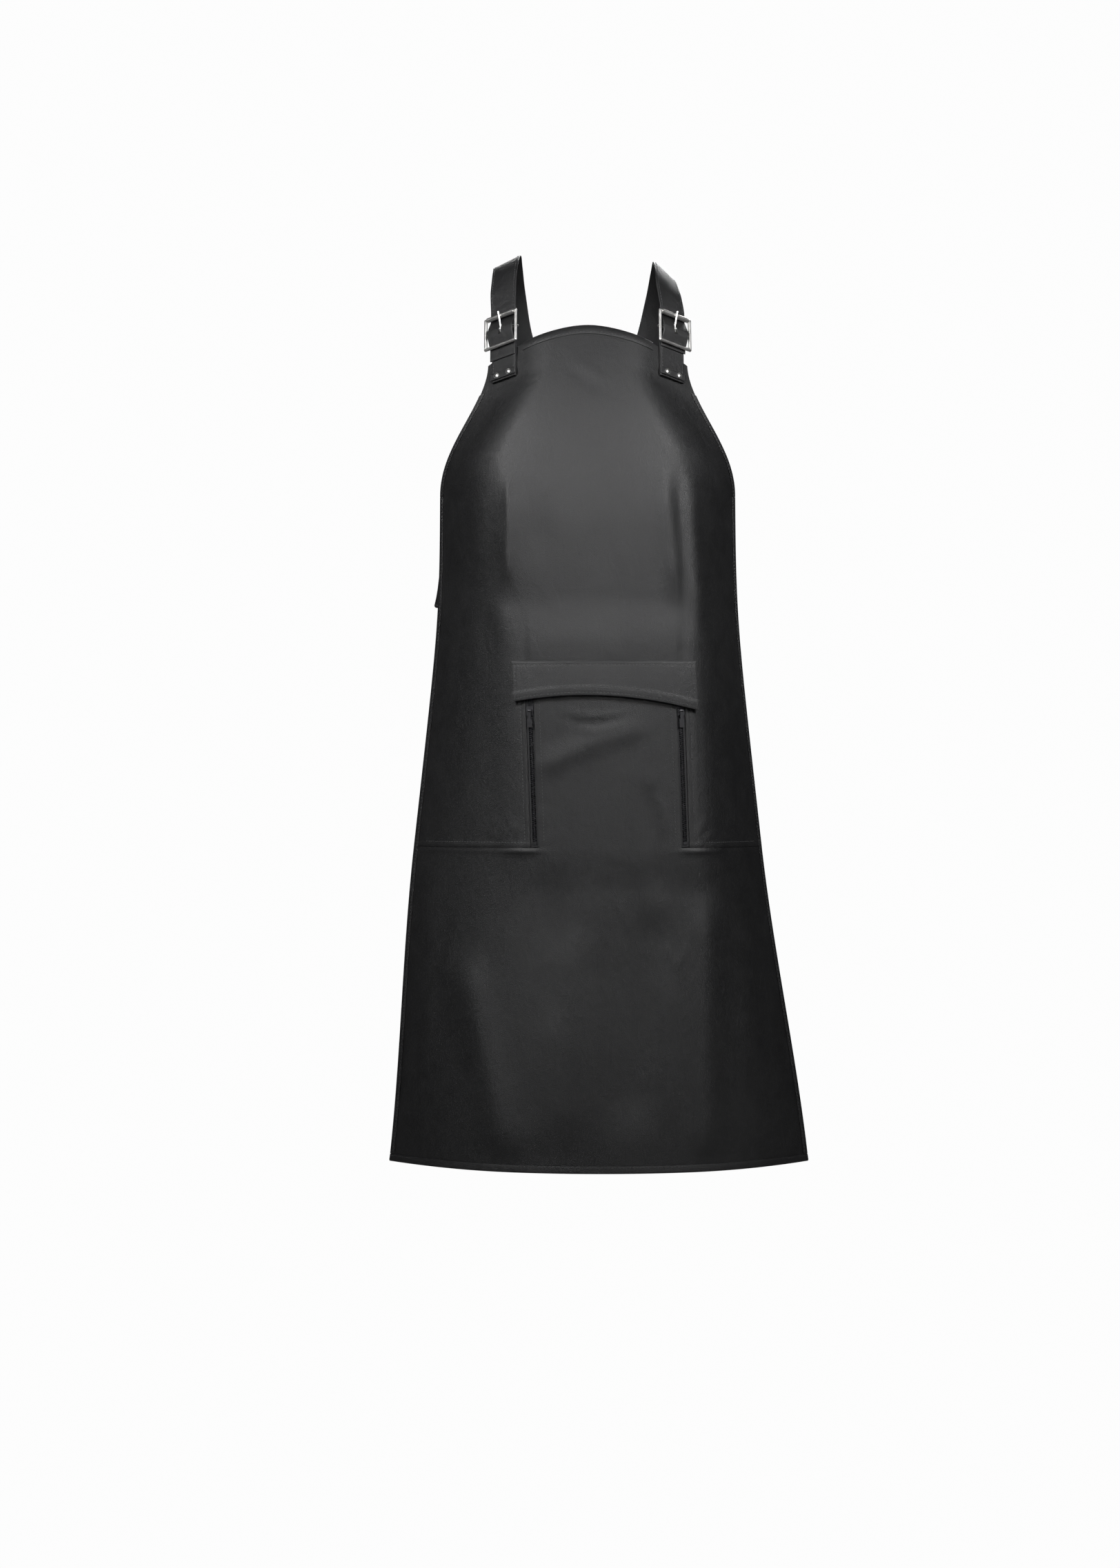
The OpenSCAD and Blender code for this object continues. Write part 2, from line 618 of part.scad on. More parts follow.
// A flat strip in the plane of the strap's length and thickness, extruded across
function strip_normal(p, k) =
    let (a = p[max(k - 1, 0)], b = p[min(k + 1, len(p) - 1)], d = unit(b - a)) [-d[1], d[0]];
function strip_outline(p, t) = concat(
    [for (k = [0:len(p) - 1]) p[k] + strip_normal(p, k) * t / 2],
    [for (k = [len(p) - 1:-1:0]) p[k] - strip_normal(p, k) * t / 2]);
module across_extrude(width) {
    // the profile's x becomes up the strap and its y out of the bib
    multmatrix([[0, 0, 1, -width / 2], [1, 0, 0, 0], [0, 1, 0, 0], [0, 0, 0, 1]])
        linear_extrude(height = width) children();
}
tab_foot = -strip_h / 2 - 2;
loop_steps = 12;
// Bore of the tab's loop, a hair wider than its curved inner face, so that the bore is round
loop_bore = loop_in + 0.04;
tab_half = strap_w / 2 - 1;
tab_slot_half = prong_r + 1.1;
tab_slot_low = tab_rise - 5.5;
rivet_bore = rivet_r + 0.05;
module strap_tab(side) {
    rear = rear_ply + tab_t / 2;
    front = front_ply + tab_t / 2;
    fold = [for (k = [0:loop_steps]) let (a = -90 + 180 * k / loop_steps)
        [tab_rise + loop_mid * cos(a), pin_n + loop_mid * sin(a)]];
    path = concat([[tab_foot, rear], [tab_rise - 9, rear]], fold,
        [[tab_rise - 6, pin_n + loop_mid - 1.25], [tab_rise - bar_v + 2.5, front], [tab_foot, front]]);
    color(STRAP_BLACK) on_end(side) difference() {
        across_extrude(2 * tab_half) polygon(strip_outline(path, tab_t));
        translate([0, tab_rise, pin_n]) cross_rod(2 * tab_half + 2, loop_bore);
        block(-tab_slot_half, tab_slot_half, tab_slot_low, tab_rise + 12, pin_n - 7, pin_n + 9);
        for (s = [LEFT, RIGHT]) translate([s * rivet_pitch / 2, 0, -1])
            cylinder(h = 12, r = rivet_bore, $fn = SIDES);
    }
}
strip_t = 1.4;
module anchor_strip(side) {
    half = strap_w / 2 + 0.5;
    color(LEATHER) on_end(side) difference() {
        block(-half, half, -strip_h / 2, strip_h / 2, strip_n, strip_n + strip_t);
        for (s = [LEFT, RIGHT]) translate([s * rivet_pitch / 2, 0, strip_n - 1])
            cylinder(h = 4, r = rivet_bore, $fn = SIDES);
    }
}
washer_n = -front_n - CLEAR;
washer_t = 0.8;
head_n = strip_n + strip_t + 0.1;
module rivets(side) {
    color(NICKEL) on_end(side) for (s = [LEFT, RIGHT]) translate([s * rivet_pitch / 2, 0, 0]) {
        translate([0, 0, washer_n - washer_t]) cylinder(h = head_n - washer_n + washer_t + 0.1, r = rivet_r, $fn = SIDES);
        translate([0, 0, head_n]) cylinder(h = 0.7, r = rivet_head_r, $fn = SIDES);
        translate([0, 0, head_n + 0.7]) intersection() {
            cylinder(h = 2, r = rivet_head_r, $fn = SIDES);
            translate([0, 0, -4.2]) sphere(r = 5.3, $fn = SIDES);
        }
    }
}
module rivet_washers(side) {
    color(NICKEL) on_end(side) for (s = [LEFT, RIGHT])
        translate([s * rivet_pitch / 2, 0, washer_n - washer_t]) difference() {
            cylinder(h = washer_t, r = rivet_head_r + 0.6, $fn = SIDES);
            translate([0, 0, -1]) cylinder(h = washer_t + 2, r = rivet_bore, $fn = SIDES);
        }
}

// ---- buckles ----
module cross_rod(length, r) {
    rotate([0, 90, 0]) cylinder(h = length, r = r, center = true, $fn = SIDES);
}
module buckle_frame(side) {
    color(NICKEL) on_end(side) translate([0, tab_rise, frame_n]) {
        for (v = [-bar_v, bar_v]) translate([0, v, 0]) cross_rod(2 * rail_u, bar_r);
        for (s = [LEFT, RIGHT]) {
            translate([s * rail_u, -bar_v, 0]) rotate([-90, 0, 0])
                cylinder(h = 2 * bar_v, r = bar_r, $fn = SIDES);
            for (v = [-bar_v, bar_v]) translate([s * rail_u, v, 0]) sphere(r = bar_r, $fn = SIDES);
            translate([s * rail_u, 0, -pin_drop]) cylinder(h = pin_drop, r = pin_r, $fn = SIDES);
            translate([s * rail_u, 0, -pin_drop]) sphere(r = pin_r, $fn = SIDES);
        }
        translate([0, 0, -pin_drop]) cross_rod(2 * rail_u, pin_r);
    }
}
roller_l = 2 * (rail_u - bar_r) - 2;
module buckle_roller(side) {
    color(NICKEL) on_end(side) translate([0, tab_rise + bar_v, frame_n]) difference() {
        cross_rod(roller_l, roller_r);
        cross_rod(roller_l + 2, bar_r + 0.05);
    }
}
// The prong: a ring on the centre bar and a straight shaft that rests on the roller's front
ring_in = pin_r + 0.2;
ring_out = ring_in + 1.4;
tip_n = frame_n + roller_r + prong_r + 0.2;
tip_v = tab_rise + bar_v + 3.5;
prong_from = [tab_rise + 1.5, pin_n + ring_out - prong_r];
prong_angle = atan((tip_n - prong_from[1]) / (bar_v + tab_rise - prong_from[0]));
prong_len = (tip_v - prong_from[0]) / cos(prong_angle);
module buckle_prong(side) {
    color(NICKEL) on_end(side) difference() {
        union() {
            translate([0, tab_rise, pin_n]) cross_rod(2 * prong_r + 0.2, ring_out);
            translate([0, prong_from[0], prong_from[1]]) rotate([prong_angle - 90, 0, 0]) {
                cylinder(h = prong_len, r = prong_r, $fn = SIDES);
                translate([0, 0, prong_len]) cylinder(h = 1, r1 = prong_r, r2 = prong_r * 0.5, $fn = SIDES);
            }
        }
        translate([0, tab_rise, pin_n]) cross_rod(4 * prong_r, ring_in);
    }
}

// ---- shoulder straps: one long ribbon each, over the shoulder and across the back ----
// Route points [x, y, z] and the ribbon's outward normal at each, for a strap that starts at the right
// front corner; x is counted from the middle of the chest.
RIGHT_ROUTE = [
    [[99, -8, 1066], [0.6, -0.68, 0.42]],
    [[96, 12, 1086], [0.66, -0.3, 0.69]],
    [[95, 34, 1094], [0.68, 0, 0.73]],
    [[94, 58, 1086], [0.6, 0.42, 0.68]],
    [[90, 82, 1060], [0.45, 0.68, 0.58]],
    [[79, 106, 1014], [0.25, 0.88, 0.4]],
    [[55, 127, 955], [0.1, 0.97, 0.2]],
    [[22, 138, 895], [0, 1, 0.05]],
    [[-18, 140, 840], [-0.05, 1, -0.03]],
    [[-62, 130, 792], [-0.2, 0.97, -0.08]],
    [[-106, 107, 750], [-0.5, 0.85, -0.05]],
    [[-142, 75, 718], [-0.75, 0.65, 0]]
];
LEFT_ROUTE = [
    [[-103, -8, 1068], [-0.55, -0.7, 0.45]],
    [[-101, 12, 1094], [-0.5, -0.35, 0.79]],
    [[-99, 34, 1106], [-0.42, 0, 0.9]],
    [[-98, 58, 1098], [-0.38, 0.45, 0.8]],
    [[-95, 82, 1070], [-0.3, 0.7, 0.64]],
    [[-86, 107, 1018], [-0.15, 0.9, 0.4]],
    [[-62, 130, 955], [-0.05, 0.97, 0.2]],
    [[-26, 143, 895], [0, 1, 0.05]],
    [[16, 145, 840], [0.05, 1, -0.03]],
    [[62, 134, 792], [0.2, 0.97, -0.08]],
    [[106, 109, 750], [0.5, 0.85, -0.05]],
    [[142, 76, 718], [0.75, 0.65, 0]]
];
strap_end_z = 690;
strap_overlap = 40;
strap_end_out = 14;
strap_back_n = -bind_gap - bind_t - 2 * CLEAR - strap_t / 2;
STEPS = 4;
// Ribbon stations where the strap is threaded through the buckle, as [up, out] of the bib
function thread(tail) = [
    [tab_rise - bar_v - tail, tail_n + strap_t / 2],
    [tab_rise - bar_v - 2, tail_n + strap_t / 2],
    [tab_rise - bar_v + 1.5, tail_n + strap_t / 2 + 0.3],
    [tab_rise - 6, over_n + strap_t / 2 - 0.5],
    [tab_rise - 2, over_n + strap_t / 2],
    [tab_rise + 2, over_n + strap_t / 2],
    [tab_rise + 6, over_n + strap_t / 2 - 1.6],
    [tab_rise + bar_v - 2, top_n + strap_t / 2 + 0.3],
    [tab_rise + bar_v + 3, top_n + strap_t / 2],
    [tab_rise + bar_v + 12, top_n + strap_t / 2]
];
function flip_x(side, p) = side == RIGHT ? p : [2 * chest_x - p[0], p[1], p[2]];
function flip_dir(side, d) = side == RIGHT ? d : [-d[0], d[1], d[2]];
function buckle_stations(side, tail) = [for (t = thread(tail))
    [flip_x(side, to_end([0, t[0], t[1]])), flip_dir(side, outward)]];
function route_stations(side) = [for (r = side == RIGHT ? RIGHT_ROUTE : LEFT_ROUTE)
    [r[0] + [chest_x, 0, 0], unit(r[1])]];
function shape_normal(us, z) =
    let (p = worn(us, z, 0)) unit(cross(worn(us + 1, z, 0) - p, worn(us, z + 1, 0) - p));
function end_stations(side) =
    let (
        reach = side_reach(-side, strap_end_z),
        slope = slope_at(reach, reach, strap_end_z),
        share = 1 / sqrt(1 + slope * slope)
    )
    [for (back = [-strap_end_out, 0, lip_w, strap_overlap / 2, strap_overlap])
        let (u = -side * (reach - share * max(back, 0)), extra = min(back, 0))
        [worn(u, strap_end_z + (strap_overlap - back) / 8, strap_back_n)
            - extra * unit(worn(u, strap_end_z, 0) - worn(u + side, strap_end_z, 0)),
         shape_normal(u - side, strap_end_z)]];
function knot(list, k) = list[min(max(k, 0), len(list) - 1)];
function curve(a, b, c, d, t) =
    let (l = norm(c - b), from = unit(c - a) * l, to = unit(d - b) * l)
    (2 * t * t * t - 3 * t * t + 1) * b + (t * t * t - 2 * t * t + t) * from
    + (3 * t * t - 2 * t * t * t) * c + (t * t * t - t * t) * to;
function sampled(list, from) = [for (k = [from:len(list) - 2], s = [0:STEPS - 1]) let (t = s / STEPS)
    [curve(knot(list, k - 1)[0], list[k][0], list[k + 1][0], knot(list, k + 2)[0], t),
     unit(mix(list[k][1], list[k + 1][1], t))]];
function strap_stations(side, tail) =
    let (
        first = buckle_stations(side, tail),
        rest = concat([first[len(first) - 2], first[len(first) - 1]], route_stations(side), end_stations(side))
    )
    concat([for (k = [0:len(first) - 2]) first[k]], [for (s = sampled(rest, 1)) s], [rest[len(rest) - 1]]);
function ribbon_ring(s, k) =
    let (
        tangent = unit(knot(s, k + 1)[0] - knot(s, k - 1)[0]),
        wide = unit(cross(tangent, s[k][1])) * strap_w / 2,
        thick = unit(cross(wide, tangent)) * strap_t / 2
    )
    [s[k][0] - wide - thick, s[k][0] + wide - thick, s[k][0] + wide + thick, s[k][0] - wide + thick];
module ribbon(stations) {
    last = len(stations) - 1;
    points = flat_list([for (k = [0:last]) ribbon_ring(stations, k)]);
    faces = concat(wall_faces(4, last + 1), quad(3, 2, 1, 0),
        quad(4 * last, 4 * last + 1, 4 * last + 2, 4 * last + 3));
    polyhedron(points = points, faces = faces, convexity = 10);
}
module prong_slot() {
    half = prong_r + 0.95;
    block(-half, half, tab_slot_low, tab_rise + 10, over_n - 6, over_n + 8);
}
module shoulder_strap(side, tail) {
    color(STRAP_BLACK) difference() {
        ribbon(strap_stations(side, tail));
        on_end(side) prong_slot();
    }
}
module left_shoulder_strap() { shoulder_strap(LEFT, left_tail); }
module right_shoulder_strap() { shoulder_strap(RIGHT, right_tail); }

bib_panel();
skirt_panel();
front_band();
shielding_core();
lining();
neckline_binding();
left_arm_binding();
right_arm_binding();
left_side_binding();
right_side_binding();
hem_binding();
zip_tape(LEFT);  // left_zip_tape
zip_tape(RIGHT);  // right_zip_tape
zip_teeth(LEFT);  // left_zip_teeth
zip_teeth(RIGHT);  // right_zip_teeth
zip_stops(LEFT);  // left_zip_stops
zip_stops(RIGHT);  // right_zip_stops
zip_slider(LEFT);  // left_zip_slider
zip_slider(RIGHT);  // right_zip_slider
zip_pull(LEFT);  // left_zip_pull
zip_pull(RIGHT);  // right_zip_pull
left_shoulder_strap();
right_shoulder_strap();
strap_tab(LEFT);  // left_strap_tab
strap_tab(RIGHT);  // right_strap_tab
anchor_strip(LEFT);  // left_anchor_strip
anchor_strip(RIGHT);  // right_anchor_strip
rivets(LEFT);  // left_rivets
rivets(RIGHT);  // right_rivets
rivet_washers(LEFT);  // left_rivet_washers
rivet_washers(RIGHT);  // right_rivet_washers
buckle_frame(LEFT);  // left_buckle_frame
buckle_frame(RIGHT);  // right_buckle_frame
buckle_roller(LEFT);  // left_buckle_roller
buckle_roller(RIGHT);  // right_buckle_roller
buckle_prong(LEFT);  // left_buckle_prong
buckle_prong(RIGHT);  // right_buckle_prong
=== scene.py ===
"""A bib apron of smooth black leather, dressed for a studio picture.

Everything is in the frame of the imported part: metres, +Z up, the wearer faces -Y, and z = 0 is the hem.
The worn shape is worked out in millimetres by the same formulas as the part's source.
"""

import logging
import math
from dataclasses import dataclass, field
from enum import Enum
from typing import Callable, Sequence

import bpy
import numpy as np
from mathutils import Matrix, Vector


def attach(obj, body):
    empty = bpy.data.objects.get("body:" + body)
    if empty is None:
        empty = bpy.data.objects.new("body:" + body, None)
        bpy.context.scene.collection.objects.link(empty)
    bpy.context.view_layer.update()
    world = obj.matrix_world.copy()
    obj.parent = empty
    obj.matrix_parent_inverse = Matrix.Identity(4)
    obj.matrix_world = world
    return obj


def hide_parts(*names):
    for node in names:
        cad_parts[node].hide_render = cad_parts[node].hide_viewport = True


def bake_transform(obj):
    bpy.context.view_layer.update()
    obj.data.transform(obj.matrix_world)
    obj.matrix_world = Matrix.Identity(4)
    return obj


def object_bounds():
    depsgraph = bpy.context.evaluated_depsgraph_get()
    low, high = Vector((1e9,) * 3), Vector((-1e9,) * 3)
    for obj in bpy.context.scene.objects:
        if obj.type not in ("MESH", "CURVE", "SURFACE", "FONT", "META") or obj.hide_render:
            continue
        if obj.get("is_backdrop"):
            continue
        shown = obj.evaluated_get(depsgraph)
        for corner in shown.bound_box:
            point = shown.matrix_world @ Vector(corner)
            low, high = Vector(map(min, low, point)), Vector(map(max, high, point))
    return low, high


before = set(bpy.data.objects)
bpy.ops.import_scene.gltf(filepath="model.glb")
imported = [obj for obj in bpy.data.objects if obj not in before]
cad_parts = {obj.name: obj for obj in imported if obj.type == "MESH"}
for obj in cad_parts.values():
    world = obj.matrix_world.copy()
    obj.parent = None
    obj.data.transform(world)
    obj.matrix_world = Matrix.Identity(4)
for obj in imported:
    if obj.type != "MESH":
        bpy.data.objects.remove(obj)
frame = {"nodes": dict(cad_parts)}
log = logging.getLogger("apron")
MM = 0.001
Array = np.ndarray

TINY = 1e-12  # keeps a division by a length away from 0
STITCH_STEP = 3.0  # points along a stitched line lie this far apart, in millimetres
SEAM_TOUCH = 0.01  # a row this near the seam lies on it, in millimetres
OUTWARD = np.array([0.0, 0.0, 1.0, 0.0])  # out of the leather, as a direction of a strap's end


class Side(Enum):
    """The two halves of the apron, as seen by someone who looks at its front."""

    LEFT = -1
    RIGHT = 1

    @property
    def word(self) -> str:
        """The half's name in the names of the nodes."""
        return self.name.lower()


# ---------------------------------------------------------------------------------------------
# Small numeric helpers
# ---------------------------------------------------------------------------------------------


def smooth(t: Array | float) -> Array:
    """Cubic step 3t^2 - 2t^3, with t held between 0 and 1.

    Args:
        t: Values of any shape.

    Returns:
        The eased values.
    """
    c = np.clip(t, 0.0, 1.0)
    return c * c * (3.0 - 2.0 * c)


def mix(a: Array | float, b: Array | float, t: Array | float) -> Array:
    """Straight mix: a at t = 0, b at t = 1."""
    return a + (np.asarray(b) - a) * t


def unit(v: Array) -> Array:
    """Vectors along the last axis, brought to length 1."""
    return v / np.maximum(np.linalg.norm(v, axis=-1, keepdims=True), TINY)


def gauss(d: Array, width: float) -> Array:
    """Rounded ridge exp(-(d / width)^2) over distance d."""
    return np.exp(-((d / width) ** 2))


def middles(stations: Array) -> Array:
    """Places halfway between neighbouring stations."""
    return (stations[:-1] + stations[1:]) / 2.0


# ---------------------------------------------------------------------------------------------
# The worn shape
# ---------------------------------------------------------------------------------------------


@dataclass(frozen=True)
class Fold:
    """A rounded ridge, or with a height below 0 a valley, along a line on the front, in millimetres."""

    x0: float
    z0: float
    x1: float
    z1: float
    half_width: float
    height: float
    bow: float = 0.0
    ease: float = 60.0
    past_end: float = 0.42

    def lift(self, x: Array, z: Array) -> Array:
        """How far the leather stands out: a bell across the line, eased to nothing at both ends.

        Args:
            x: Places across the front.
            z: Heights above the hem.

        Returns:
            Lift towards the viewer, in millimetres.
        """
        dx, dz = self.x1 - self.x0, self.z1 - self.z0
        length = math.hypot(dx, dz)
        along = ((x - self.x0) * dx + (z - self.z0) * dz) / length
        across = ((x - self.x0) * dz - (z - self.z0) * dx) / length
        share = along / length
        across = across - self.bow * 4.0 * share * (1.0 - share)
        ends = smooth(along / self.ease) * smooth((length - along + self.past_end * self.ease) / self.ease)
        return self.height * ends * gauss(across, self.half_width)


@dataclass(frozen=True)
class WornShape:
    """The apron as it is worn: outline, lean, wrap and folds, all in millimetres."""

    corner_z: float = 970.0
    neck_rise: float = 45.0
    corner_w: float = 119.0
    arm_z: float = 812.0
    waist_w: float = 176.0
    hem_w: float = 253.0
    flare_z: float = 675.0
    turn_top: float = 17.6
    turn_foot: float = 25.9
    turn_hem: float = 0.8
    chest_x: float = -13.8
    hem_x: float = 0.0
    belly_y: float = 126.0
    chest_lean: float = 66.0
    lean_z: float = 760.0
    hem_out: float = 14.0
    body_r: float = 320.0
    waist_depth: float = 115.0
    hem_depth: float = 140.0
    corner_depth: float = 62.0
    seam_z: float = 385.0
    bib_low_z: float = 602.0
    tongue_lap: float = 23.0
    zip_u: float = 88.0
    slot_w: float = 5.0
    tape_w: float = 10.0
    lip_w: float = 8.0
    core_margin: float = 37.0
    flare_knee: float = 40.0
    corner_flat: float = 56.0
    wrap_room: float = 65.0
    arc_room: float = 12.0
    arch_power: float = 1.8
    scoop_power: float = 0.9
    fold_ease: float = 30.0
    crease_low: float = 14.0
    crease_ease: float = 20.0
    folds: tuple[Fold, ...] = (
        Fold(-94, 850, -94, 700, 13, 6.0),
        Fold(-103, 700, -99, 640, 12, 3.0),
        Fold(85, 850, 103, 690, 13, 6.0),
        Fold(121, 850, 131, 660, 12, 5.4),
        Fold(-156, 270, -95, 20, 22, 6.0),
        Fold(139, 340, 139, 20, 18, 4.8),
        Fold(77, 330, 49, 60, 24, -4.2),
        Fold(-21, 300, -36, 40, 26, 3.0),
        Fold(-96, 832, -95, 706, 4, 1.6, 0.0, 30.0),
        Fold(-56, 822, -57, 732, 13, -2.2),
        Fold(-40, 372, -41, 176, 17, -2.4),
        Fold(8, 372, 2, 250, 20, 1.6),
        Fold(103, 862, 118, 640, 6, -1.6),
        Fold(190, 330, 196, 120, 13, 1.8),
        Fold(80, 536, -58, 478, 14, 2.2, 4.0, 44.0),
        Fold(68, 470, 84, 330, 12, -2.2, 0.0, 44.0),
        Fold(-84, 340, -120, 240, 11, -1.4, 0.0, 44.0),
        Fold(-185, 380, -196, 120, 14, 1.6),
        Fold(92, 250, 96, 60, 11, 1.4),
    )
    creases: tuple[Fold, ...] = (
        Fold(-30, 970, 18, 932, 7, -0.75, 3.0, 24.0),
        Fold(-20, 976, 26, 946, 5, 0.55, 3.0, 24.0),
        Fold(8, 621, 38, 617, 3.2, 0.55, 1.5, 14.0),
        Fold(-36, 550, 44, 547, 3.4, 0.95, 7.0, 26.0),
        Fold(-32, 541, 40, 539, 3.2, -0.6, 7.0, 24.0),
        Fold(-28, 533, 36, 531, 3.4, 0.6, 7.0, 24.0),
        Fold(-58, 441, -46, 436, 4.5, -0.6, 0.0, 10.0),
        Fold(-116, 426, -88, 397, 3.2, 1.0, 2.0, 18.0),
        Fold(-104, 432, -80, 402, 2.6, 0.9, 1.5, 16.0),
        Fold(-126, 413, -92, 391, 2.8, 0.9, 2.0, 18.0),
        Fold(138, 428, 124, 396, 3.0, 0.9, -2.0, 16.0),
        Fold(156, 412, 128, 390, 3.0, 0.8, -2.0, 18.0),
        Fold(78, 452, 90, 397, 4.5, 1.1, -4.0, 20.0),
        Fold(88, 272, 104, 240, 4.0, 0.7, 0.0, 16.0),
        Fold(120, 276, 104, 240, 4.0, 0.7, 0.0, 16.0),
        Fold(150, 560, 172, 470, 5.0, 0.6, 3.0, 34.0),
        Fold(-152, 600, -166, 500, 5.0, 0.6, -3.0, 34.0),
        Fold(-140, 330, -170, 236, 6.0, 0.6, 4.0, 34.0),
        Fold(24, 330, 60, 262, 6.0, 0.55, -4.0, 34.0),
        Fold(-60, 700, -24, 664, 6.0, 0.5, 4.0, 30.0),
        Fold(30, 800, 46, 716, 7.0, 0.5, 5.0, 36.0),
    )

    @property
    def tongue_top_z(self) -> float:
        """Height of the pocket panel's top, behind the bib."""
        return self.bib_low_z + self.tongue_lap

    @property
    def profile_top(self) -> float:
        """Height above which the profile stays the same, so that the corners are flat."""
        return self.corner_z - self.core_margin

    def flare_half(self, z: Array) -> Array:
        """Half width below the arms: the waist's, plus a flare with a soft knee (a log-sum ramp)."""
        slope = (self.hem_w - self.waist_w) / self.flare_z
        ramp = np.log1p(np.exp(np.clip((self.flare_z - z) / self.flare_knee, -40, 40)))
        return self.waist_w + slope * self.flare_knee * ramp

    def outline_half(self, z: Array) -> Array:
        """Half width of the outline: the flare below the arms, a cosine scoop above their foot."""
        t = np.clip((self.corner_z - z) / (self.corner_z - self.arm_z), 0.0, 1.0)
        share = (1.0 - np.cos(np.pi * t**self.scoop_power)) / 2.0
        foot = self.flare_half(np.full_like(z, self.arm_z))
        return np.where(z < self.arm_z, self.flare_half(z), mix(self.corner_w, foot, share))

    def outline_x(self, z: Array) -> Array:
        """Middle of the outline: over the hem it moves smoothly back to the chest's middle."""
        return mix(self.hem_x, self.chest_x, smooth(z / self.seam_z))

    def turn(self, z: Array) -> Array:
        """How far the front's features are turned off the outline's middle: straight along the zips."""
        slope = (self.turn_foot - self.turn_top) / (self.tongue_top_z - self.seam_z)
        low = mix(self.turn_hem, self.turn_foot, smooth(z / self.seam_z))
        zips = self.turn_foot - slope * (z - self.seam_z)
        top = (z - self.tongue_top_z) / (self.arm_z - self.tongue_top_z)
        high = self.turn_top * (1.0 - smooth(top))
        return np.where(z < self.seam_z, low, np.where(z < self.tongue_top_z, zips, high))

    def middle_x(self, z: Array) -> Array:
        """Place of the front's middle at height z."""
        return self.outline_x(z) + self.turn(z)

    def side_reach(self, side: Array, z: Array) -> Array:
        """Distance from the front's middle to a side edge."""
        return self.outline_half(z) - side * self.turn(z)

    def front_y(self, z: Array) -> Array:
        """The front line: a parabola back to the chest above the lean, a soft swing out to the hem."""
        top = self.corner_z + self.neck_rise
        lean = np.clip((z - self.lean_z) / (top - self.lean_z), 0.0, None) ** 2
        swing = smooth((self.seam_z - z) / self.seam_z)
        return -self.belly_y + self.chest_lean * lean - self.hem_out * swing

    def edge_depth(self, z: Array) -> Array:
        """How far the side edges lie behind the front line, in three straight stretches."""
        high = (z - self.arm_z) / (self.profile_top - self.arm_z)
        low = (self.flare_z - z) / self.flare_z
        upper = mix(self.waist_depth, self.corner_depth, high)
        lower = mix(self.waist_depth, self.hem_depth, low)
        return np.where(z > self.arm_z, upper, np.where(z < self.flare_z, lower, self.waist_depth))

    def wrap(self, reach: Array, z: Array) -> tuple[Array, Array, Array]:
        """The parts of the profile across the apron.

        Args:
            reach: Distance from the middle to the side edge.
            z: Height, no higher than the profile's top.

        Returns:
            Where the body's arc ends, how tight the wrap after it is, and how wide the flat corner is.
        """
        flat = self.corner_flat * smooth((z - self.arm_z) / (self.profile_top - self.arm_z))
        start = np.minimum(self.zip_u + self.arc_room, reach - self.wrap_room - flat / 3.0)
        bend = reach - flat - start
        arc = start * start / (2.0 * self.body_r)
        left_over = self.edge_depth(z) - arc - (reach - start) * start / self.body_r
        return start, left_over / (bend * bend + 2.0 * bend * flat), flat

    def profile(self, u: Array, reach: Array, z: Array) -> tuple[Array, Array]:
        """Depth and slope across the apron at distance u from its middle.

        The depth is u^2 / 2R on the arc, then a straight run plus q a^2 over the wrap, then straight.

        Args:
            u: Distance from the middle, without its sign.
            reach: Distance from the middle to the side edge.
            z: Height, no higher than the profile's top.

        Returns:
            Depth behind the front line, and its slope along u.
        """
        start, q, flat = self.wrap(reach, z)
        bend = reach - flat - start
        a = np.clip(u - start, 0.0, bend)
        b = np.clip(u - start - bend, 0.0, None)
        arc = np.minimum(u, start)
        run = start / self.body_r * np.clip(u - start, 0.0, None)
        depth = arc * arc / (2.0 * self.body_r) + run + q * a * a + 2.0 * q * a * b
        return depth, arc / self.body_r + 2.0 * q * a

    def crease_lift(self, us: Array, z: Array) -> Array:
        """Sum of the small creases that only the leather's front has, at distances us in rows z."""
        side = np.where(us < 0.0, -1.0, 1.0)
        height = self.row_height(np.abs(us) / self.side_reach(side, z), z)
        x = self.middle_x(z) + us - self.chest_x
        total = sum((f.lift(x, height) for f in self.creases), np.zeros_like(height))
        return total * smooth((z - self.crease_low) / self.crease_ease)

    def fold_lift(self, x: Array, z: Array) -> Array:
        """Sum of the folds' lifts, eased to nothing over the last stretch above the hem."""
        total = sum((f.lift(x - self.chest_x, z) for f in self.folds), np.zeros_like(z))
        return total * smooth(z / self.fold_ease)

    def row_height(self, share: Array, z: Array) -> Array:
        """Rows bend up into the neckline's arch: the rise times 1 less a power of the share."""
        rise = np.clip((z - self.arm_z) / (self.corner_z - self.arm_z), 0.0, None) * self.neck_rise
        return z + rise * (1.0 - np.clip(share, 0.0, 1.0) ** self.arch_power)

    def point(self, us: Array, z: Array, n: Array | float) -> Array:
        """Places on the worn shape.

        Args:
            us: Signed distance from the front's middle.
            z: Height of the row, measured at the side edge.
            n: Depth forward of the lining's back, along the level normal.

        Returns:
            Points in millimetres, with x, y and z along the last axis.
        """
        us, z = np.broadcast_arrays(np.asarray(us, float), np.asarray(z, float))
        side = np.where(us < 0.0, -1.0, 1.0)
        u = np.abs(us)
        height = self.row_height(u / self.side_reach(side, z), z)
        low = np.minimum(z, self.profile_top)
        depth, slope = self.profile(u, self.side_reach(side, low), low)
        x = self.middle_x(z) + us
        k = n / np.sqrt(1.0 + slope * slope)
        y = self.front_y(height) + depth - k - self.fold_lift(x, height)
        return np.stack([x + side * slope * k, y, height], axis=-1)

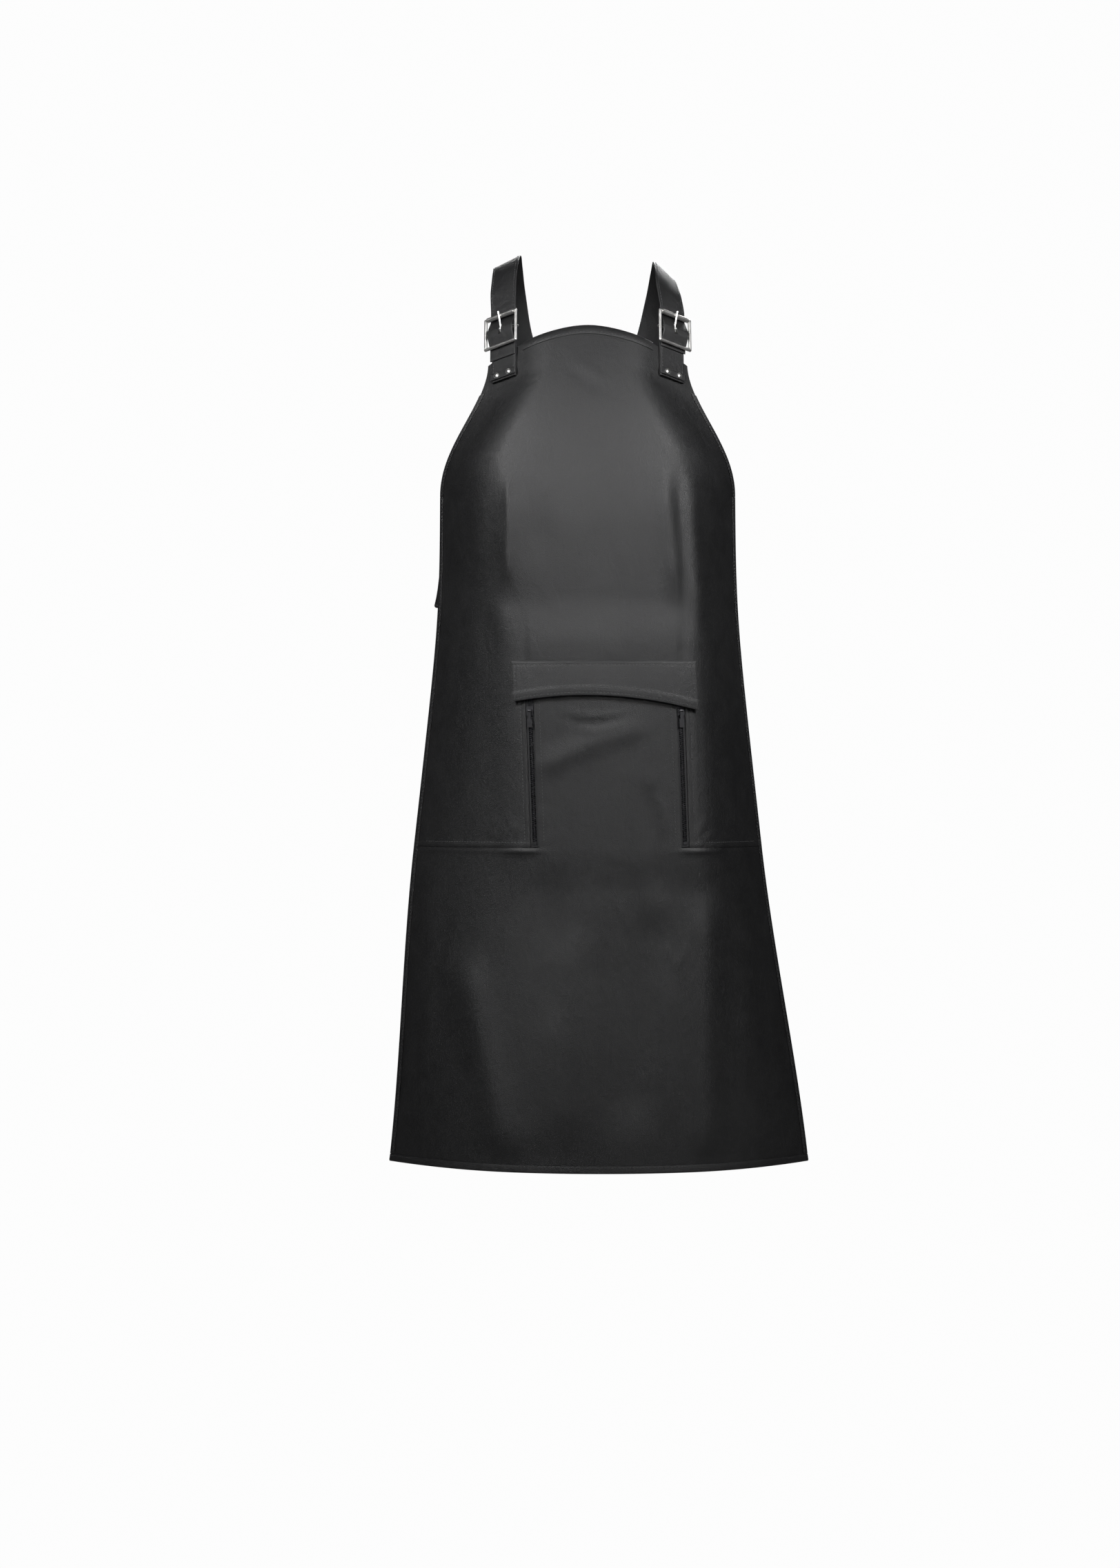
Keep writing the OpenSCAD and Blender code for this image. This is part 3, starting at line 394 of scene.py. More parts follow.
    def lip_reach(self, side: Array, z: Array) -> Array:
        """Distance from the middle to the inner edge of a side binding, its width along the leather."""
        low = np.minimum(z, self.profile_top)
        _, slope = self.profile(self.side_reach(side, z), self.side_reach(side, low), low)
        return self.side_reach(side, z) - self.lip_w / np.sqrt(1.0 + slope * slope)

    def column_u(self, share: Array, inner: float, z: Array) -> Array:
        """Signed distance of a column: its own within inner, and beyond that a share up to the edge.

        Args:
            share: Columns, with their distance up to inner, and inner plus a share of 1 beyond it.
            inner: Distance from the middle up to which columns run straight.
            z: Heights of the rows.

        Returns:
            Signed distances from the middle.
        """
        side = np.where(share < 0.0, -1.0, 1.0)
        k = np.abs(share)
        lip = self.lip_reach(side, z)
        edge = self.side_reach(side, z)
        beyond = k - inner
        out = np.where(beyond <= 1.0, mix(inner, lip, beyond), mix(lip, edge, beyond - 1.0))
        return side * np.where(k <= inner, k, out)


@dataclass(frozen=True)
class Layers:
    """Depths of the apron's layers, counted forward from the lining's back, in millimetres."""

    lining_t: float = 0.6
    core_t: float = 1.5
    leather_t: float = 1.2
    gap: float = 0.2
    pocket_lift: float = 3.35
    clear: float = 0.3
    bind_gap: float = 0.35
    bind_t: float = 0.8
    band_t: float = 1.4
    band_flare: float = 3.4

    @property
    def core_n(self) -> float:
        """Back of the shielding core."""
        return self.lining_t + self.gap

    @property
    def leather_n(self) -> float:
        """Back of the outer leather."""
        return self.core_n + self.core_t + self.gap

    @property
    def front_n(self) -> float:
        """Front of the outer leather."""
        return self.leather_n + self.leather_t

    @property
    def lap(self) -> float:
        """How much the bib's lower edge stands off to pass over the pocket panel."""
        return self.leather_t + self.clear

    @property
    def band_n(self) -> float:
        """Back of the waist band at its top edge."""
        return self.front_n + self.pocket_lift + self.lap + self.clear


# ---------------------------------------------------------------------------------------------
# Meshes
# ---------------------------------------------------------------------------------------------


def mesh_object(name: str, points: Array, faces: Sequence[Array]) -> bpy.types.Object:
    """Makes a smooth-shaded object at the origin from points in millimetres.

    Args:
        name: The piece's name.
        points: Vertices, in millimetres; those that no face uses are left out.
        faces: Arrays of faces, each with one row of corner indices per face.

    Returns:
        The new object, linked to the scene.
    """
    used, where = np.unique(np.concatenate([f.ravel() for f in faces]), return_inverse=True)
    sizes = [f.shape for f in faces]
    cuts = np.cumsum([a * b for a, b in sizes])[:-1]
    renumbered = [part.reshape(s) for part, s in zip(np.split(where, cuts), sizes)]
    mesh = bpy.data.meshes.new(name)
    rows = [row for part in renumbered for row in part.tolist()]
    mesh.from_pydata((points[used] * MM).tolist(), [], rows)
    mesh.polygons.foreach_set("use_smooth", np.ones(len(rows), bool))
    mesh.update()
    obj = bpy.data.objects.new(name, mesh)
    bpy.context.scene.collection.objects.link(obj)
    return obj


def shell(name: str, back: Array, front: Array, keep: Array, corner: float = 40.0) -> bpy.types.Object:
    """A closed sheet over the kept cells of a grid: both skins, and a wall where the cells end.

    Args:
        name: The piece's name.
        back: Grid of the back skin, rows by columns by 3.
        front: Grid of the front skin.
        keep: Which cells there are, one fewer than the grid each way.
        corner: Angle in degrees past which an edge is shaded sharp.

    Returns:
        The sheet's object.
    """
    rows, cols = front.shape[:2]
    index = np.arange(rows * cols).reshape(rows, cols)
    a, b, c, d = (index[:-1, :-1], index[:-1, 1:], index[1:, 1:], index[1:, :-1])
    fa, fb, fc, fd = (g + rows * cols for g in (a, b, c, d))
    padded = np.pad(keep, 1)
    inside = padded[1:-1, 1:-1]
    low = inside & ~padded[:-2, 1:-1]
    high = inside & ~padded[2:, 1:-1]
    left = inside & ~padded[1:-1, :-2]
    right = inside & ~padded[1:-1, 2:]

    def take(mask: Array, *corners: Array) -> Array:
        """The chosen cells' corners, one row per face."""
        return np.stack([g[mask] for g in corners], axis=-1)

    faces = [
        take(inside, fa, fb, fc, fd),
        take(inside, d, c, b, a),
        take(low, a, b, fb, fa),
        take(high, c, d, fd, fc),
        take(left, d, a, fa, fd),
        take(right, b, c, fc, fb),
    ]
    points = np.concatenate([back.reshape(-1, 3), front.reshape(-1, 3)])
    obj = mesh_object(name, points, [f for f in faces if len(f)])
    close_up(obj, corner)
    return obj


def tube(stations: int, sides: int) -> tuple[Array, Array, Array]:
    """Faces of a closed profile that is carried from station to station.

    Args:
        stations: How many rings of points there are.
        sides: How many points a ring has.

    Returns:
        Walls with four corners each, and the caps of the first and the last ring.
    """
    index = np.arange(stations * sides).reshape(stations, sides)
    following = np.roll(index, -1, axis=1)
    walls = np.stack([index[:-1], following[:-1], following[1:], index[1:]], axis=-1).reshape(-1, 4)
    return walls, index[0][::-1], index[-1]


def swept(name: str, rings: Array, corner: float) -> bpy.types.Object:
    """A closed profile carried along a path, with capped ends.

    Args:
        name: The piece's name.
        rings: Profile points at each station, stations by points by 3, anticlockwise seen along the path.
        corner: Angle in degrees past which an edge is shaded sharp.

    Returns:
        The swept object.
    """
    walls, first, last = tube(*rings.shape[:2])
    obj = mesh_object(name, rings.reshape(-1, 3), [walls, first[None, :], last[None, :]])
    close_up(obj, corner)
    return obj


def close_up(obj: bpy.types.Object, corner: float) -> None:
    """Turns a closed mesh's faces outwards and shades its corners sharp.

    Args:
        obj: A mesh object.
        corner: Angle in degrees past which an edge is shaded sharp.
    """
    face_outward(obj)
    obj.data.set_sharp_from_angle(angle=math.radians(corner))


def face_outward(obj: bpy.types.Object) -> None:
    """Turns the faces of a closed mesh outwards: where its signed volume is below 0, all are flipped.

    Args:
        obj: A mesh object.
    """
    mesh = obj.data
    mesh.calc_loop_triangles()
    corners = np.empty(len(mesh.loop_triangles) * 3, np.int32)
    mesh.loop_triangles.foreach_get("vertices", corners)
    co = np.empty(len(mesh.vertices) * 3, np.float32)
    mesh.vertices.foreach_get("co", co)
    p = co.reshape(-1, 3)[corners.reshape(-1, 3)].astype(float)
    if float((p[:, 0] * np.cross(p[:, 1], p[:, 2])).sum()) < 0.0:
        mesh.flip_normals()


def join_stitches(name: str, starts: Array, ends: Array, outs: Array, thread: float) -> bpy.types.Object:
    """A row of stitches as one mesh: each is a six-sided bead, thick in its middle, sunk at its ends.

    Args:
        name: The piece's name.
        starts: First point of each stitch, in millimetres.
        ends: Last point of each stitch.
        outs: The leather's outward direction at each stitch.
        thread: Thickness of the thread, in millimetres.

    Returns:
        The stitches' object.
    """
    sides, stations = 6, np.array([0.0, 0.12, 0.5, 0.88, 1.0])
    thick = thread / 2.0 * np.array([0.25, 0.8, 1.0, 0.8, 0.25])
    rise = thread * np.array([-0.45, 0.0, 0.22, 0.0, -0.45])
    along = unit(ends - starts)
    outs = unit(outs - (outs * along).sum(-1, keepdims=True) * along)
    across = np.cross(along, outs)
    turn = np.arange(sides) * 2.0 * np.pi / sides
    centre = starts[:, None, :] + (ends - starts)[:, None, :] * stations[None, :, None]
    centre = centre + outs[:, None, :] * rise[None, :, None]
    ring = np.cos(turn)[:, None] * across[:, None, None, :] + np.sin(turn)[:, None] * outs[:, None, None, :]
    points = centre[:, :, None, :] + ring * thick[None, :, None, None]
    many, per = len(starts), len(stations) * sides
    index = np.arange(per).reshape(len(stations), sides)
    following = np.roll(index, -1, axis=1)
    walls = np.stack([index[:-1], index[1:], following[1:], following[:-1]], axis=-1).reshape(-1, 4)
    offsets = (np.arange(many) * per)[:, None, None]
    body = (walls[None] + offsets).reshape(-1, 4)
    caps = np.concatenate([index[0][None, :], index[-1][::-1][None, :]])
    lids = (caps[None] + offsets).reshape(-1, sides)
    obj = mesh_object(name, points.reshape(-1, 3), [body, lids])
    face_outward(obj)
    return obj


def spaced(path: Array, pitch: float) -> Array:
    """Even stations along a polyline.

    Args:
        path: Points, in millimetres.
        pitch: Distance between stations.

    Returns:
        The stations, as fractional indices into the path.
    """
    step = np.linalg.norm(np.diff(path, axis=0), axis=1)
    run = np.concatenate([[0.0], np.cumsum(step)])
    count = max(int(run[-1] / pitch), 2)
    return np.interp(np.linspace(0.0, run[-1], count + 1), run, np.arange(len(path)))


def along_path(path: Array, at: Array) -> Array:
    """Points of a polyline at fractional indices."""
    k = np.arange(len(path))
    return np.stack([np.interp(at, k, path[:, i]) for i in range(3)], axis=-1)


@dataclass(frozen=True)
class Thread:
    """A sewing thread: how thick it is, how far apart the stitches are, and how much of that is thread."""

    thick: float = 0.75
    pitch: float = 4.2
    share: float = 0.72

    def sew(self, name: str, paths: Sequence[tuple[Array, Array]]) -> bpy.types.Object:
        """Sews rows of stitches.

        Args:
            name: The piece's name.
            paths: For each row its polyline and the outward direction at each of its points.

        Returns:
            One object with every stitch.
        """
        starts, ends, outs = [], [], []
        for path, out in paths:
            at = spaced(path, self.pitch)
            first, last = at[:-1], at[:-1] + (at[1:] - at[:-1]) * self.share
            starts.append(along_path(path, first))
            ends.append(along_path(path, last))
            outs.append(along_path(out, (first + last) / 2.0))
        beads = (np.concatenate(part) for part in (starts, ends, outs))
        return join_stitches(name, *beads, self.thick)


# ---------------------------------------------------------------------------------------------
# Shader graphs
# ---------------------------------------------------------------------------------------------


@dataclass(frozen=True)
class Wire:
    """An output socket that can be used in formulas; each operation adds one maths node."""

    graph: "Graph"
    out: bpy.types.NodeSocket

    def __add__(self, other: "Wire | float") -> "Wire":
        """Sum."""
        return self.graph.maths("ADD", self, other)

    def __radd__(self, other: float) -> "Wire":
        """Sum, with the number first."""
        return self.graph.maths("ADD", other, self)

    def __sub__(self, other: "Wire | float") -> "Wire":
        """Difference."""
        return self.graph.maths("SUBTRACT", self, other)

    def __mul__(self, other: "Wire | float") -> "Wire":
        """Product."""
        return self.graph.maths("MULTIPLY", self, other)

    def above(self, low: float, high: float) -> "Wire":
        """Smooth step: 0 below low, 1 above high."""
        node = self.graph.add("ShaderNodeMapRange", interpolation_type="SMOOTHSTEP")
        self.graph.feed(node.inputs["Value"], self)
        node.inputs["From Min"].default_value = low
        node.inputs["From Max"].default_value = high
        return Wire(self.graph, node.outputs["Result"])


class Graph:
    """The node tree of one material, with a Principled shader at its end."""

    def __init__(self, name: str) -> None:
        """Starts an empty material.

        Args:
            name: The material's name.
        """
        self.material = bpy.data.materials.new(name)
        self.material.use_nodes = True
        self.tree = self.material.node_tree
        self.tree.nodes.clear()
        self.shader = self.add("ShaderNodeBsdfPrincipled")
        output = self.add("ShaderNodeOutputMaterial")
        self.tree.links.new(self.shader.outputs[0], output.inputs["Surface"])

    def add(self, kind: str, **settings: object) -> bpy.types.Node:
        """Adds a node.

        Args:
            kind: The node's type.
            settings: Properties to set on it.

        Returns:
            The node.
        """
        node = self.tree.nodes.new(kind)
        for key, value in settings.items():
            setattr(node, key, value)
        return node

    def feed(self, socket: bpy.types.NodeSocket, value: Wire | float | Sequence[float]) -> None:
        """Links a wire to a socket, or sets a constant on it.

        Args:
            socket: An input.
            value: A wire, a number, or a vector.
        """
        if isinstance(value, Wire):
            self.tree.links.new(value.out, socket)
        else:
            socket.default_value = value

    def maths(self, operation: str, a: Wire | float, b: Wire | float) -> Wire:
        """One maths node over two values."""
        node = self.add("ShaderNodeMath", operation=operation)
        self.feed(node.inputs[0], a)
        self.feed(node.inputs[1], b)
        return Wire(self, node.outputs[0])

    def place(self, stretch: Sequence[float] = (1.0, 1.0, 1.0)) -> Wire:
        """Position on the object in metres, scaled along each axis.

        Args:
            stretch: Factors along x, y and z.

        Returns:
            The position's wire.
        """
        node = self.add("ShaderNodeMapping")
        coords = self.add("ShaderNodeTexCoord")
        self.tree.links.new(coords.outputs["Object"], node.inputs["Vector"])
        node.inputs["Scale"].default_value = stretch
        return Wire(self, node.outputs[0])

    def noise(self, at: Wire, scale: float, detail: float = 2.0, twist: float = 0.0) -> Wire:
        """Soft noise between 0 and 1.

        Args:
            at: Position.
            scale: Lumps per metre.
            detail: Octaves.
            twist: Distortion.

        Returns:
            The noise's wire.
        """
        node = self.add("ShaderNodeTexNoise")
        self.feed(node.inputs["Vector"], at)
        node.inputs["Scale"].default_value = scale
        node.inputs["Detail"].default_value = detail
        node.inputs["Distortion"].default_value = twist
        return Wire(self, node.outputs["Fac"])

    def cells(self, at: Wire, scale: float) -> Wire:
        """Cell pattern: distance to the cell walls.

        Args:
            at: Position.
            scale: Cells per metre.

        Returns:
            The pattern's wire.
        """
        node = self.add("ShaderNodeTexVoronoi", feature="DISTANCE_TO_EDGE")
        self.feed(node.inputs["Vector"], at)
        node.inputs["Scale"].default_value = scale
        return Wire(self, node.outputs["Distance"])

    def wave(self, at: Wire, scale: float, direction: str) -> Wire:
        """Sine bands along one axis.

        Args:
            at: Position.
            scale: Bands per metre, over 2 pi.
            direction: "X", "Y" or "Z".

        Returns:
            The bands' wire.
        """
        node = self.add("ShaderNodeTexWave", bands_direction=direction)
        self.feed(node.inputs["Vector"], at)
        node.inputs["Scale"].default_value = scale
        return Wire(self, node.outputs["Fac"])

    def colour(self, amount: Wire, dark: Sequence[float], light: Sequence[float]) -> Wire:
        """Mixes two colours by a value between 0 and 1."""
        node = self.add("ShaderNodeMix", data_type="RGBA")
        self.feed(node.inputs["Factor"], amount)
        node.inputs["A"].default_value = (*dark, 1.0)
        node.inputs["B"].default_value = (*light, 1.0)
        return Wire(self, node.outputs["Result"])

    def bump(self, height: Wire, depth: float, strength: float = 1.0) -> None:
        """Adds relief; a further call lays finer relief over the first.

        Args:
            height: Height between about 0 and 1.
            depth: Height of 1 in metres.
            strength: Share of the effect.
        """
        node = self.add("ShaderNodeBump")
        self.feed(node.inputs["Height"], height)
        node.inputs["Distance"].default_value = depth
        node.inputs["Strength"].default_value = strength
        normal = self.shader.inputs["Normal"]
        if normal.is_linked:
            self.tree.links.new(normal.links[0].from_socket, node.inputs["Normal"])
        self.tree.links.new(node.outputs[0], normal)

    def put(self, **values: object) -> None:
        """Feeds the Principled shader's sockets, with spaces in their names as underscores."""
        for key, value in values.items():
            self.feed(self.shader.inputs[key.replace("_", " ")], value)


@dataclass(frozen=True)
class Leather:
    """Smooth finished leather: a fine pebble grain, soft uneven creasing and a faint worn sheen."""

    name: str
    slot: str
    dark: tuple[float, float, float]
    light: tuple[float, float, float]
    roughness: float = 0.5
    coat: float = 0.08
    coat_roughness: float = 0.42
    grain: float = 0.00016
    crease: float = 0.0006
    broad_scale: float = 9.0
    patch_scale: float = 42.0
    pebble_scale: float = 900.0
    pore_scale: float = 1500.0
    wrinkle_scale: float = 60.0

    def build(self) -> bpy.types.Material:
        """Builds the material.

        Returns:
            The leather.
        """
        g = Graph(self.name)
        at = g.place()
        broad = g.noise(at, self.broad_scale, 3.0, 0.4)
        patch = g.noise(at, self.patch_scale, 4.0, 0.6)
        pebble = g.cells(at, self.pebble_scale).above(0.0, 0.35)
        pores = g.noise(at, self.pore_scale, 2.0)
        wrinkle = g.noise(g.place((1.0, 1.0, 0.55)), self.wrinkle_scale, 5.0, 1.2)
        g.put(
            Base_Color=g.colour((broad * 0.6 + patch * 0.4).above(0.3, 0.72), self.dark, self.light),
            Roughness=self.roughness - 0.05 + patch * 0.14 - pebble * 0.05,
            Coat_Weight=self.coat,
            Coat_Roughness=self.coat_roughness,
            IOR=1.5,
        )
        g.bump(wrinkle, self.crease)
        g.bump(pebble * 0.75 + pores * 0.25, self.grain)
        return g.material


@dataclass(frozen=True)
class Metal:
    """Plated metal with faint scratches and an uneven haze."""

    name: str
    slot: str
    tint: tuple[float, float, float]
    roughness: float
    scratch_scale: float = 2600.0
    scratch_depth: float = 0.00002
    haze_scale: float = 160.0
    haze_dim: float = 0.86

    def build(self) -> bpy.types.Material:
        """Builds the material.

        Returns:
            The metal.
        """
        g = Graph(self.name)
        scratch = g.noise(g.place((1.0, 1.0, 0.12)), self.scratch_scale, 3.0)
        haze = g.noise(g.place(), self.haze_scale, 3.0)
        dim = tuple(c * self.haze_dim for c in self.tint)
        g.put(
            Base_Color=g.colour(haze.above(0.35, 0.7), dim, self.tint),
            Metallic=1.0,
            Roughness=self.roughness + haze * 0.1 + scratch * 0.05,
        )
        g.bump(scratch, self.scratch_depth, 0.5)
        return g.material


@dataclass(frozen=True)
class Woven:
    """Plain woven cloth: two sets of fine bands and a little lint."""

    name: str
    slot: str
    dark: tuple[float, float, float]
    light: tuple[float, float, float]
    threads: float = 180.0
    depth: float = 0.00018
    lint_scale: float = 240.0

    def build(self) -> bpy.types.Material:
        """Builds the material.

        Returns:
            The cloth.
        """
        g = Graph(self.name)
        at = g.place()
        weave = g.wave(at, self.threads, "X") * 0.5 + g.wave(at, self.threads, "Z") * 0.5
        lint = g.noise(at, self.lint_scale, 4.0)
        g.put(
            Base_Color=g.colour((weave * 0.5 + lint * 0.5).above(0.25, 0.8), self.dark, self.light),
            Roughness=0.78 + lint * 0.15,
            Sheen_Weight=0.15,
        )
        g.bump(weave, self.depth)
        return g.material


@dataclass(frozen=True)
class Rubber:
    """Dull moulded sheet with fine lumps."""

    name: str
    slot: str
    dark: tuple[float, float, float]
    light: tuple[float, float, float]
    lump_scale: float = 420.0
    lump_depth: float = 0.0002

    def build(self) -> bpy.types.Material:
        """Builds the material.

        Returns:
            The sheet's material.
        """
        g = Graph(self.name)
        lumps = g.noise(g.place(), self.lump_scale, 4.0)
        g.put(Base_Color=g.colour(lumps, self.dark, self.light), Roughness=0.7 + lumps * 0.2)
        g.bump(lumps, self.lump_depth)
        return g.material


Finish = Leather | Metal | Woven | Rubber
BLACK = ((0.006, 0.006, 0.0065), (0.011, 0.011, 0.0115))


@dataclass
class Finishes:
    """Every finish of the apron, built once."""

    leather: Leather = Leather("black smooth leather", "black_leather", *BLACK)
    strap: Leather = Leather("black strap leather", "strap_leather", *BLACK, 0.46)
    nickel: Metal = Metal("bright nickel", "nickel", (0.86, 0.85, 0.83), 0.26)
    zip_metal: Metal = Metal("blackened zip metal", "zip_metal", (0.09, 0.09, 0.095), 0.3)
    tape: Woven = Woven("black zip tape", "zip_tape", (0.012, 0.012, 0.013), (0.03, 0.03, 0.032), 320.0, 0.0001)
    lining: Woven = Woven("dark lining_cloth", "lining_fabric", (0.03, 0.031, 0.035), (0.06, 0.061, 0.066))
    core: Rubber = Rubber("grey shielding_sheet", "shielding_core", (0.035, 0.036, 0.04), (0.06, 0.062, 0.066))
    thread: Woven = Woven(
        "black sewing thread", "black_leather", (0.03, 0.03, 0.031), (0.055, 0.055, 0.057), 900.0, 0.00005
    )
    made: dict[str, bpy.types.Material] = field(default_factory=dict)

    def dress(self, obj: bpy.types.Object, finish: Finish) -> None:
        """Gives an object one finish.

        Args:
            obj: The object.
            finish: One of this class's finishes.
        """
        if finish.name not in self.made:
            self.made[finish.name] = finish.build()
        obj.data.materials.clear()
        obj.data.materials.append(self.made[finish.name])

    def fit(self, obj: bpy.types.Object, finish: Finish, node: str) -> bpy.types.Object:
        """Dresses a piece that stands for one CAD node and rides on the apron.

        Args:
            obj: The piece.
            finish: One of this class's finishes.
            node: The CAD node it stands for.

        Returns:
            The same object.
        """
        self.dress(obj, finish)
        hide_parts(node)
        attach(obj, "apron")
        return obj


# ---------------------------------------------------------------------------------------------
# The apron's sheets
# ---------------------------------------------------------------------------------------------


def runs(*stops: tuple[float, float]) -> Array:
    """Stations along a line: from each stop to the next, no farther apart than the stop's pitch.

    Args:
        stops: Places and the pitch from there on.

    Returns:
        Rising stations.
    """
    parts = []
    for (a, pitch), (b, _) in zip(stops, stops[1:]):
        parts.append(np.linspace(a, b, max(int(math.ceil((b - a) / pitch)), 1) + 1)[:-1])
    return np.concatenate([*parts, [stops[-1][0]]])


@dataclass(frozen=True)
class Welts:
    """Raised lines of the leather's front beside the zips, over the side seams and at the zips' feet."""

    near: float = 2.4
    near_width: float = 1.7
    near_height: float = 0.8
    far: float = 9.6
    far_width: float = 1.8
    outer_height: float = 0.5
    inner_height: float = 0.4
    zip_share: float = 0.85
    foot_u: float = 13.0
    foot_width: float = 19.0
    foot_height: float = 1.7

    def beside_zip(self, u: Array, outer_u: float, inner_u: float) -> Array:
        """The lines on both sides of a zip's slot.

        Args:
            u: Distance from the middle.
            outer_u: Where the slot's outer edge is.
            inner_u: Where its inner edge is.

        Returns:
            Height of the relief, in millimetres.
        """
        outer = self.near_height * gauss(u - outer_u - self.near, self.near_width)
        outer = outer + self.outer_height * gauss(u - outer_u - self.far, self.far_width)
        inner = self.near_height * gauss(u - inner_u + self.near, self.near_width)
        inner = inner + self.inner_height * gauss(u - inner_u + self.far, self.far_width)
        return outer + inner

    def seam(self, above: Array) -> Array:
        """The welts over and under a side seam, at a height above it."""
        return 0.55 * gauss(above - 3.0, 2.6) + 0.35 * gauss(above + 4.5, 2.4)

    def foot(self, beyond: Array, above: Array) -> Array:
        """The ridge under a zip's foot, at a distance beyond the zip and a height above the seam."""
        ridge = self.foot_height * gauss(beyond - self.foot_u, self.foot_width) * gauss(above + 4.4, 3.6)
        return ridge * smooth((2.0 - above) / 3.0)


@dataclass
class Apron:
    """The apron's panels, layers and edge bindings."""

    shape: WornShape
    layers: Layers
    finishes: Finishes
    welts: Welts = Welts()
    pitch: float = 4.6
    seam_gap: float = 0.4
    lift_fade: float = 60.0
    lift_side: float = 45.0
    stitch_inset: float = 2.0

    @property
    def inner(self) -> float:
        """Distance from the middle up to which columns run straight."""
        return self.shape.zip_u + self.shape.tape_w + 2.0

    @property
    def slot_u(self) -> float:
        """Distance from the middle to the outer edge of a zip's slot."""
        return self.shape.zip_u + self.shape.slot_w

    @property
    def tongue_u(self) -> float:
        """Distance from the middle to the edge of the panel between the zips."""
        return self.shape.zip_u - self.shape.slot_w

    def columns(self, pitch: float) -> Array:
        """Column stations, mirrored about the middle.

        Args:
            pitch: Largest step, in millimetres.

        Returns:
            Stations: distances up to inner, and shares beyond it.
        """
        fine, reach = 1.8, 115.0  # the step beside the zips, and about how wide a side is
        near = runs((0.0, pitch), (self.tongue_u, fine), (self.slot_u, fine), (self.inner, 1.0))
        side = runs((0.0, pitch / reach), (1.0, 0.34), (2.0, 1.0))[1:] + self.inner
        half = np.concatenate([near, side])
        return np.concatenate([-half[:0:-1], half])

    def rows(self, pitch: float) -> Array:
        """Row heights from the hem to the top edge, with every seam on a row."""
        s = self.shape
        return runs(
            (0.0, 2.7), (s.lip_w, pitch), (s.seam_z - 9.0, 2.0), (s.seam_z, 2.0), (s.seam_z + 8.0, pitch),
            (s.bib_low_z, pitch), (s.tongue_top_z, pitch), (s.arm_z, pitch), (s.profile_top, pitch),
            (s.corner_z - s.lip_w, 2.7), (s.corner_z, 1.0),
        )

    def lift(self, us: Array, z: Array) -> Array:
        """How far the leather stands off the core to make room for the zips."""
        s, fade = self.shape, self.lift_fade
        across = smooth(1.0 - (np.abs(us) - s.zip_u - s.tape_w) / self.lift_side)
        down = smooth((z - s.seam_z + fade) / fade)
        return self.layers.pocket_lift * across * down * smooth(1.0 - (z - s.tongue_top_z) / fade)

    def lap(self, us: Array, z: Array) -> Array:
        """How far the bib's lower middle passes over the panel between the zips."""
        s = self.shape
        across = smooth(1.0 - (np.abs(us) - self.tongue_u) / (2.0 * s.slot_w))
        low = z >= s.bib_low_z - 0.001
        down = smooth(1.0 - (z - s.tongue_top_z) / self.lift_fade)
        return np.where(low, self.layers.lap * across * down, 0.0)

    def relief(self, us: Array, z: Array) -> Array:
        """Raised welts and creases of the leather's front alone.

        Args:
            us: Signed distances from the middle.
            z: Row heights.

        Returns:
            Height of the relief, in millimetres.
        """
        s = self.shape
        u = np.abs(us)
        above = z - s.seam_z
        zips = smooth((above + 4.0) / 8.0) * smooth((s.bib_low_z + 6.0 - z) / 14.0)
        lines = self.welts.beside_zip(u, self.slot_u, self.tongue_u)
        seam = smooth((u - self.tongue_u) / 6.0) * self.welts.seam(above)
        foot = self.welts.foot(u - s.zip_u, above)
        return self.welts.zip_share * zips * lines + seam + foot + s.crease_lift(us, z)

    def grid(self, pitch: float) -> tuple[Array, Array, Array]:
        """Columns, signed distances and heights of a grid over the whole apron.

        Args:
            pitch: Largest step.

        Returns:
            Column stations, and grids of distances and of heights.
        """
        columns, rows = self.columns(pitch), self.rows(pitch)
        z = np.repeat(rows[:, None], len(columns), axis=1)
        us = self.shape.column_u(np.broadcast_to(columns, z.shape), self.inner, z)
        return columns, us, z

    def cells(self, columns: Array, z: Array) -> tuple[Array, Array]:
        """Middles of a grid's cells, as column stations without sign and heights."""
        k = np.abs((columns[:-1] + columns[1:]) / 2.0)
        return np.broadcast_to(k, (z.shape[0] - 1, len(k))), (z[:-1, :-1] + z[1:, :-1]) / 2.0

    def area(self, front: Array, keep: Array) -> float:
        """Area of the kept cells, in square metres."""
        a = front[1:, 1:] - front[:-1, :-1]
        b = front[1:, :-1] - front[:-1, 1:]
        return float((np.linalg.norm(np.cross(a, b), axis=-1) * keep).sum() / 2.0) * MM * MM

    def panel(
        self, piece: "tuple[str, str, Finish, tuple[float, float]]", back: Array, front: Array, keep: Array
    ) -> bpy.types.Object:
        """Makes a sheet that rides on the apron.

        Args:
            piece: Its name, the CAD node it stands for, its finish, and its flat cut in metres.
            back: Grid of its back skin.
            front: Grid of its front skin.
            keep: Which cells there are.

        Returns:
            The sheet.
        """
        name, node, finish, flat = piece
        obj = shell(name, back, front, keep)
        area = self.area(front, keep)
        self.finishes.dress(obj, finish)
        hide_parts(node)
        min(area, flat[0] * flat[1])
        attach(obj, "apron")
        log.info("%s: %d faces, %.3f square metres", name, len(obj.data.polygons), area)
        return obj

    def seam_shift(self, on_seam: Array, by: float) -> Array:
        """Upward shift of the points on the seam, so that the two leathers leave a gap there."""
        return np.where(on_seam, by, 0.0)[..., None] * OUTWARD[:3]

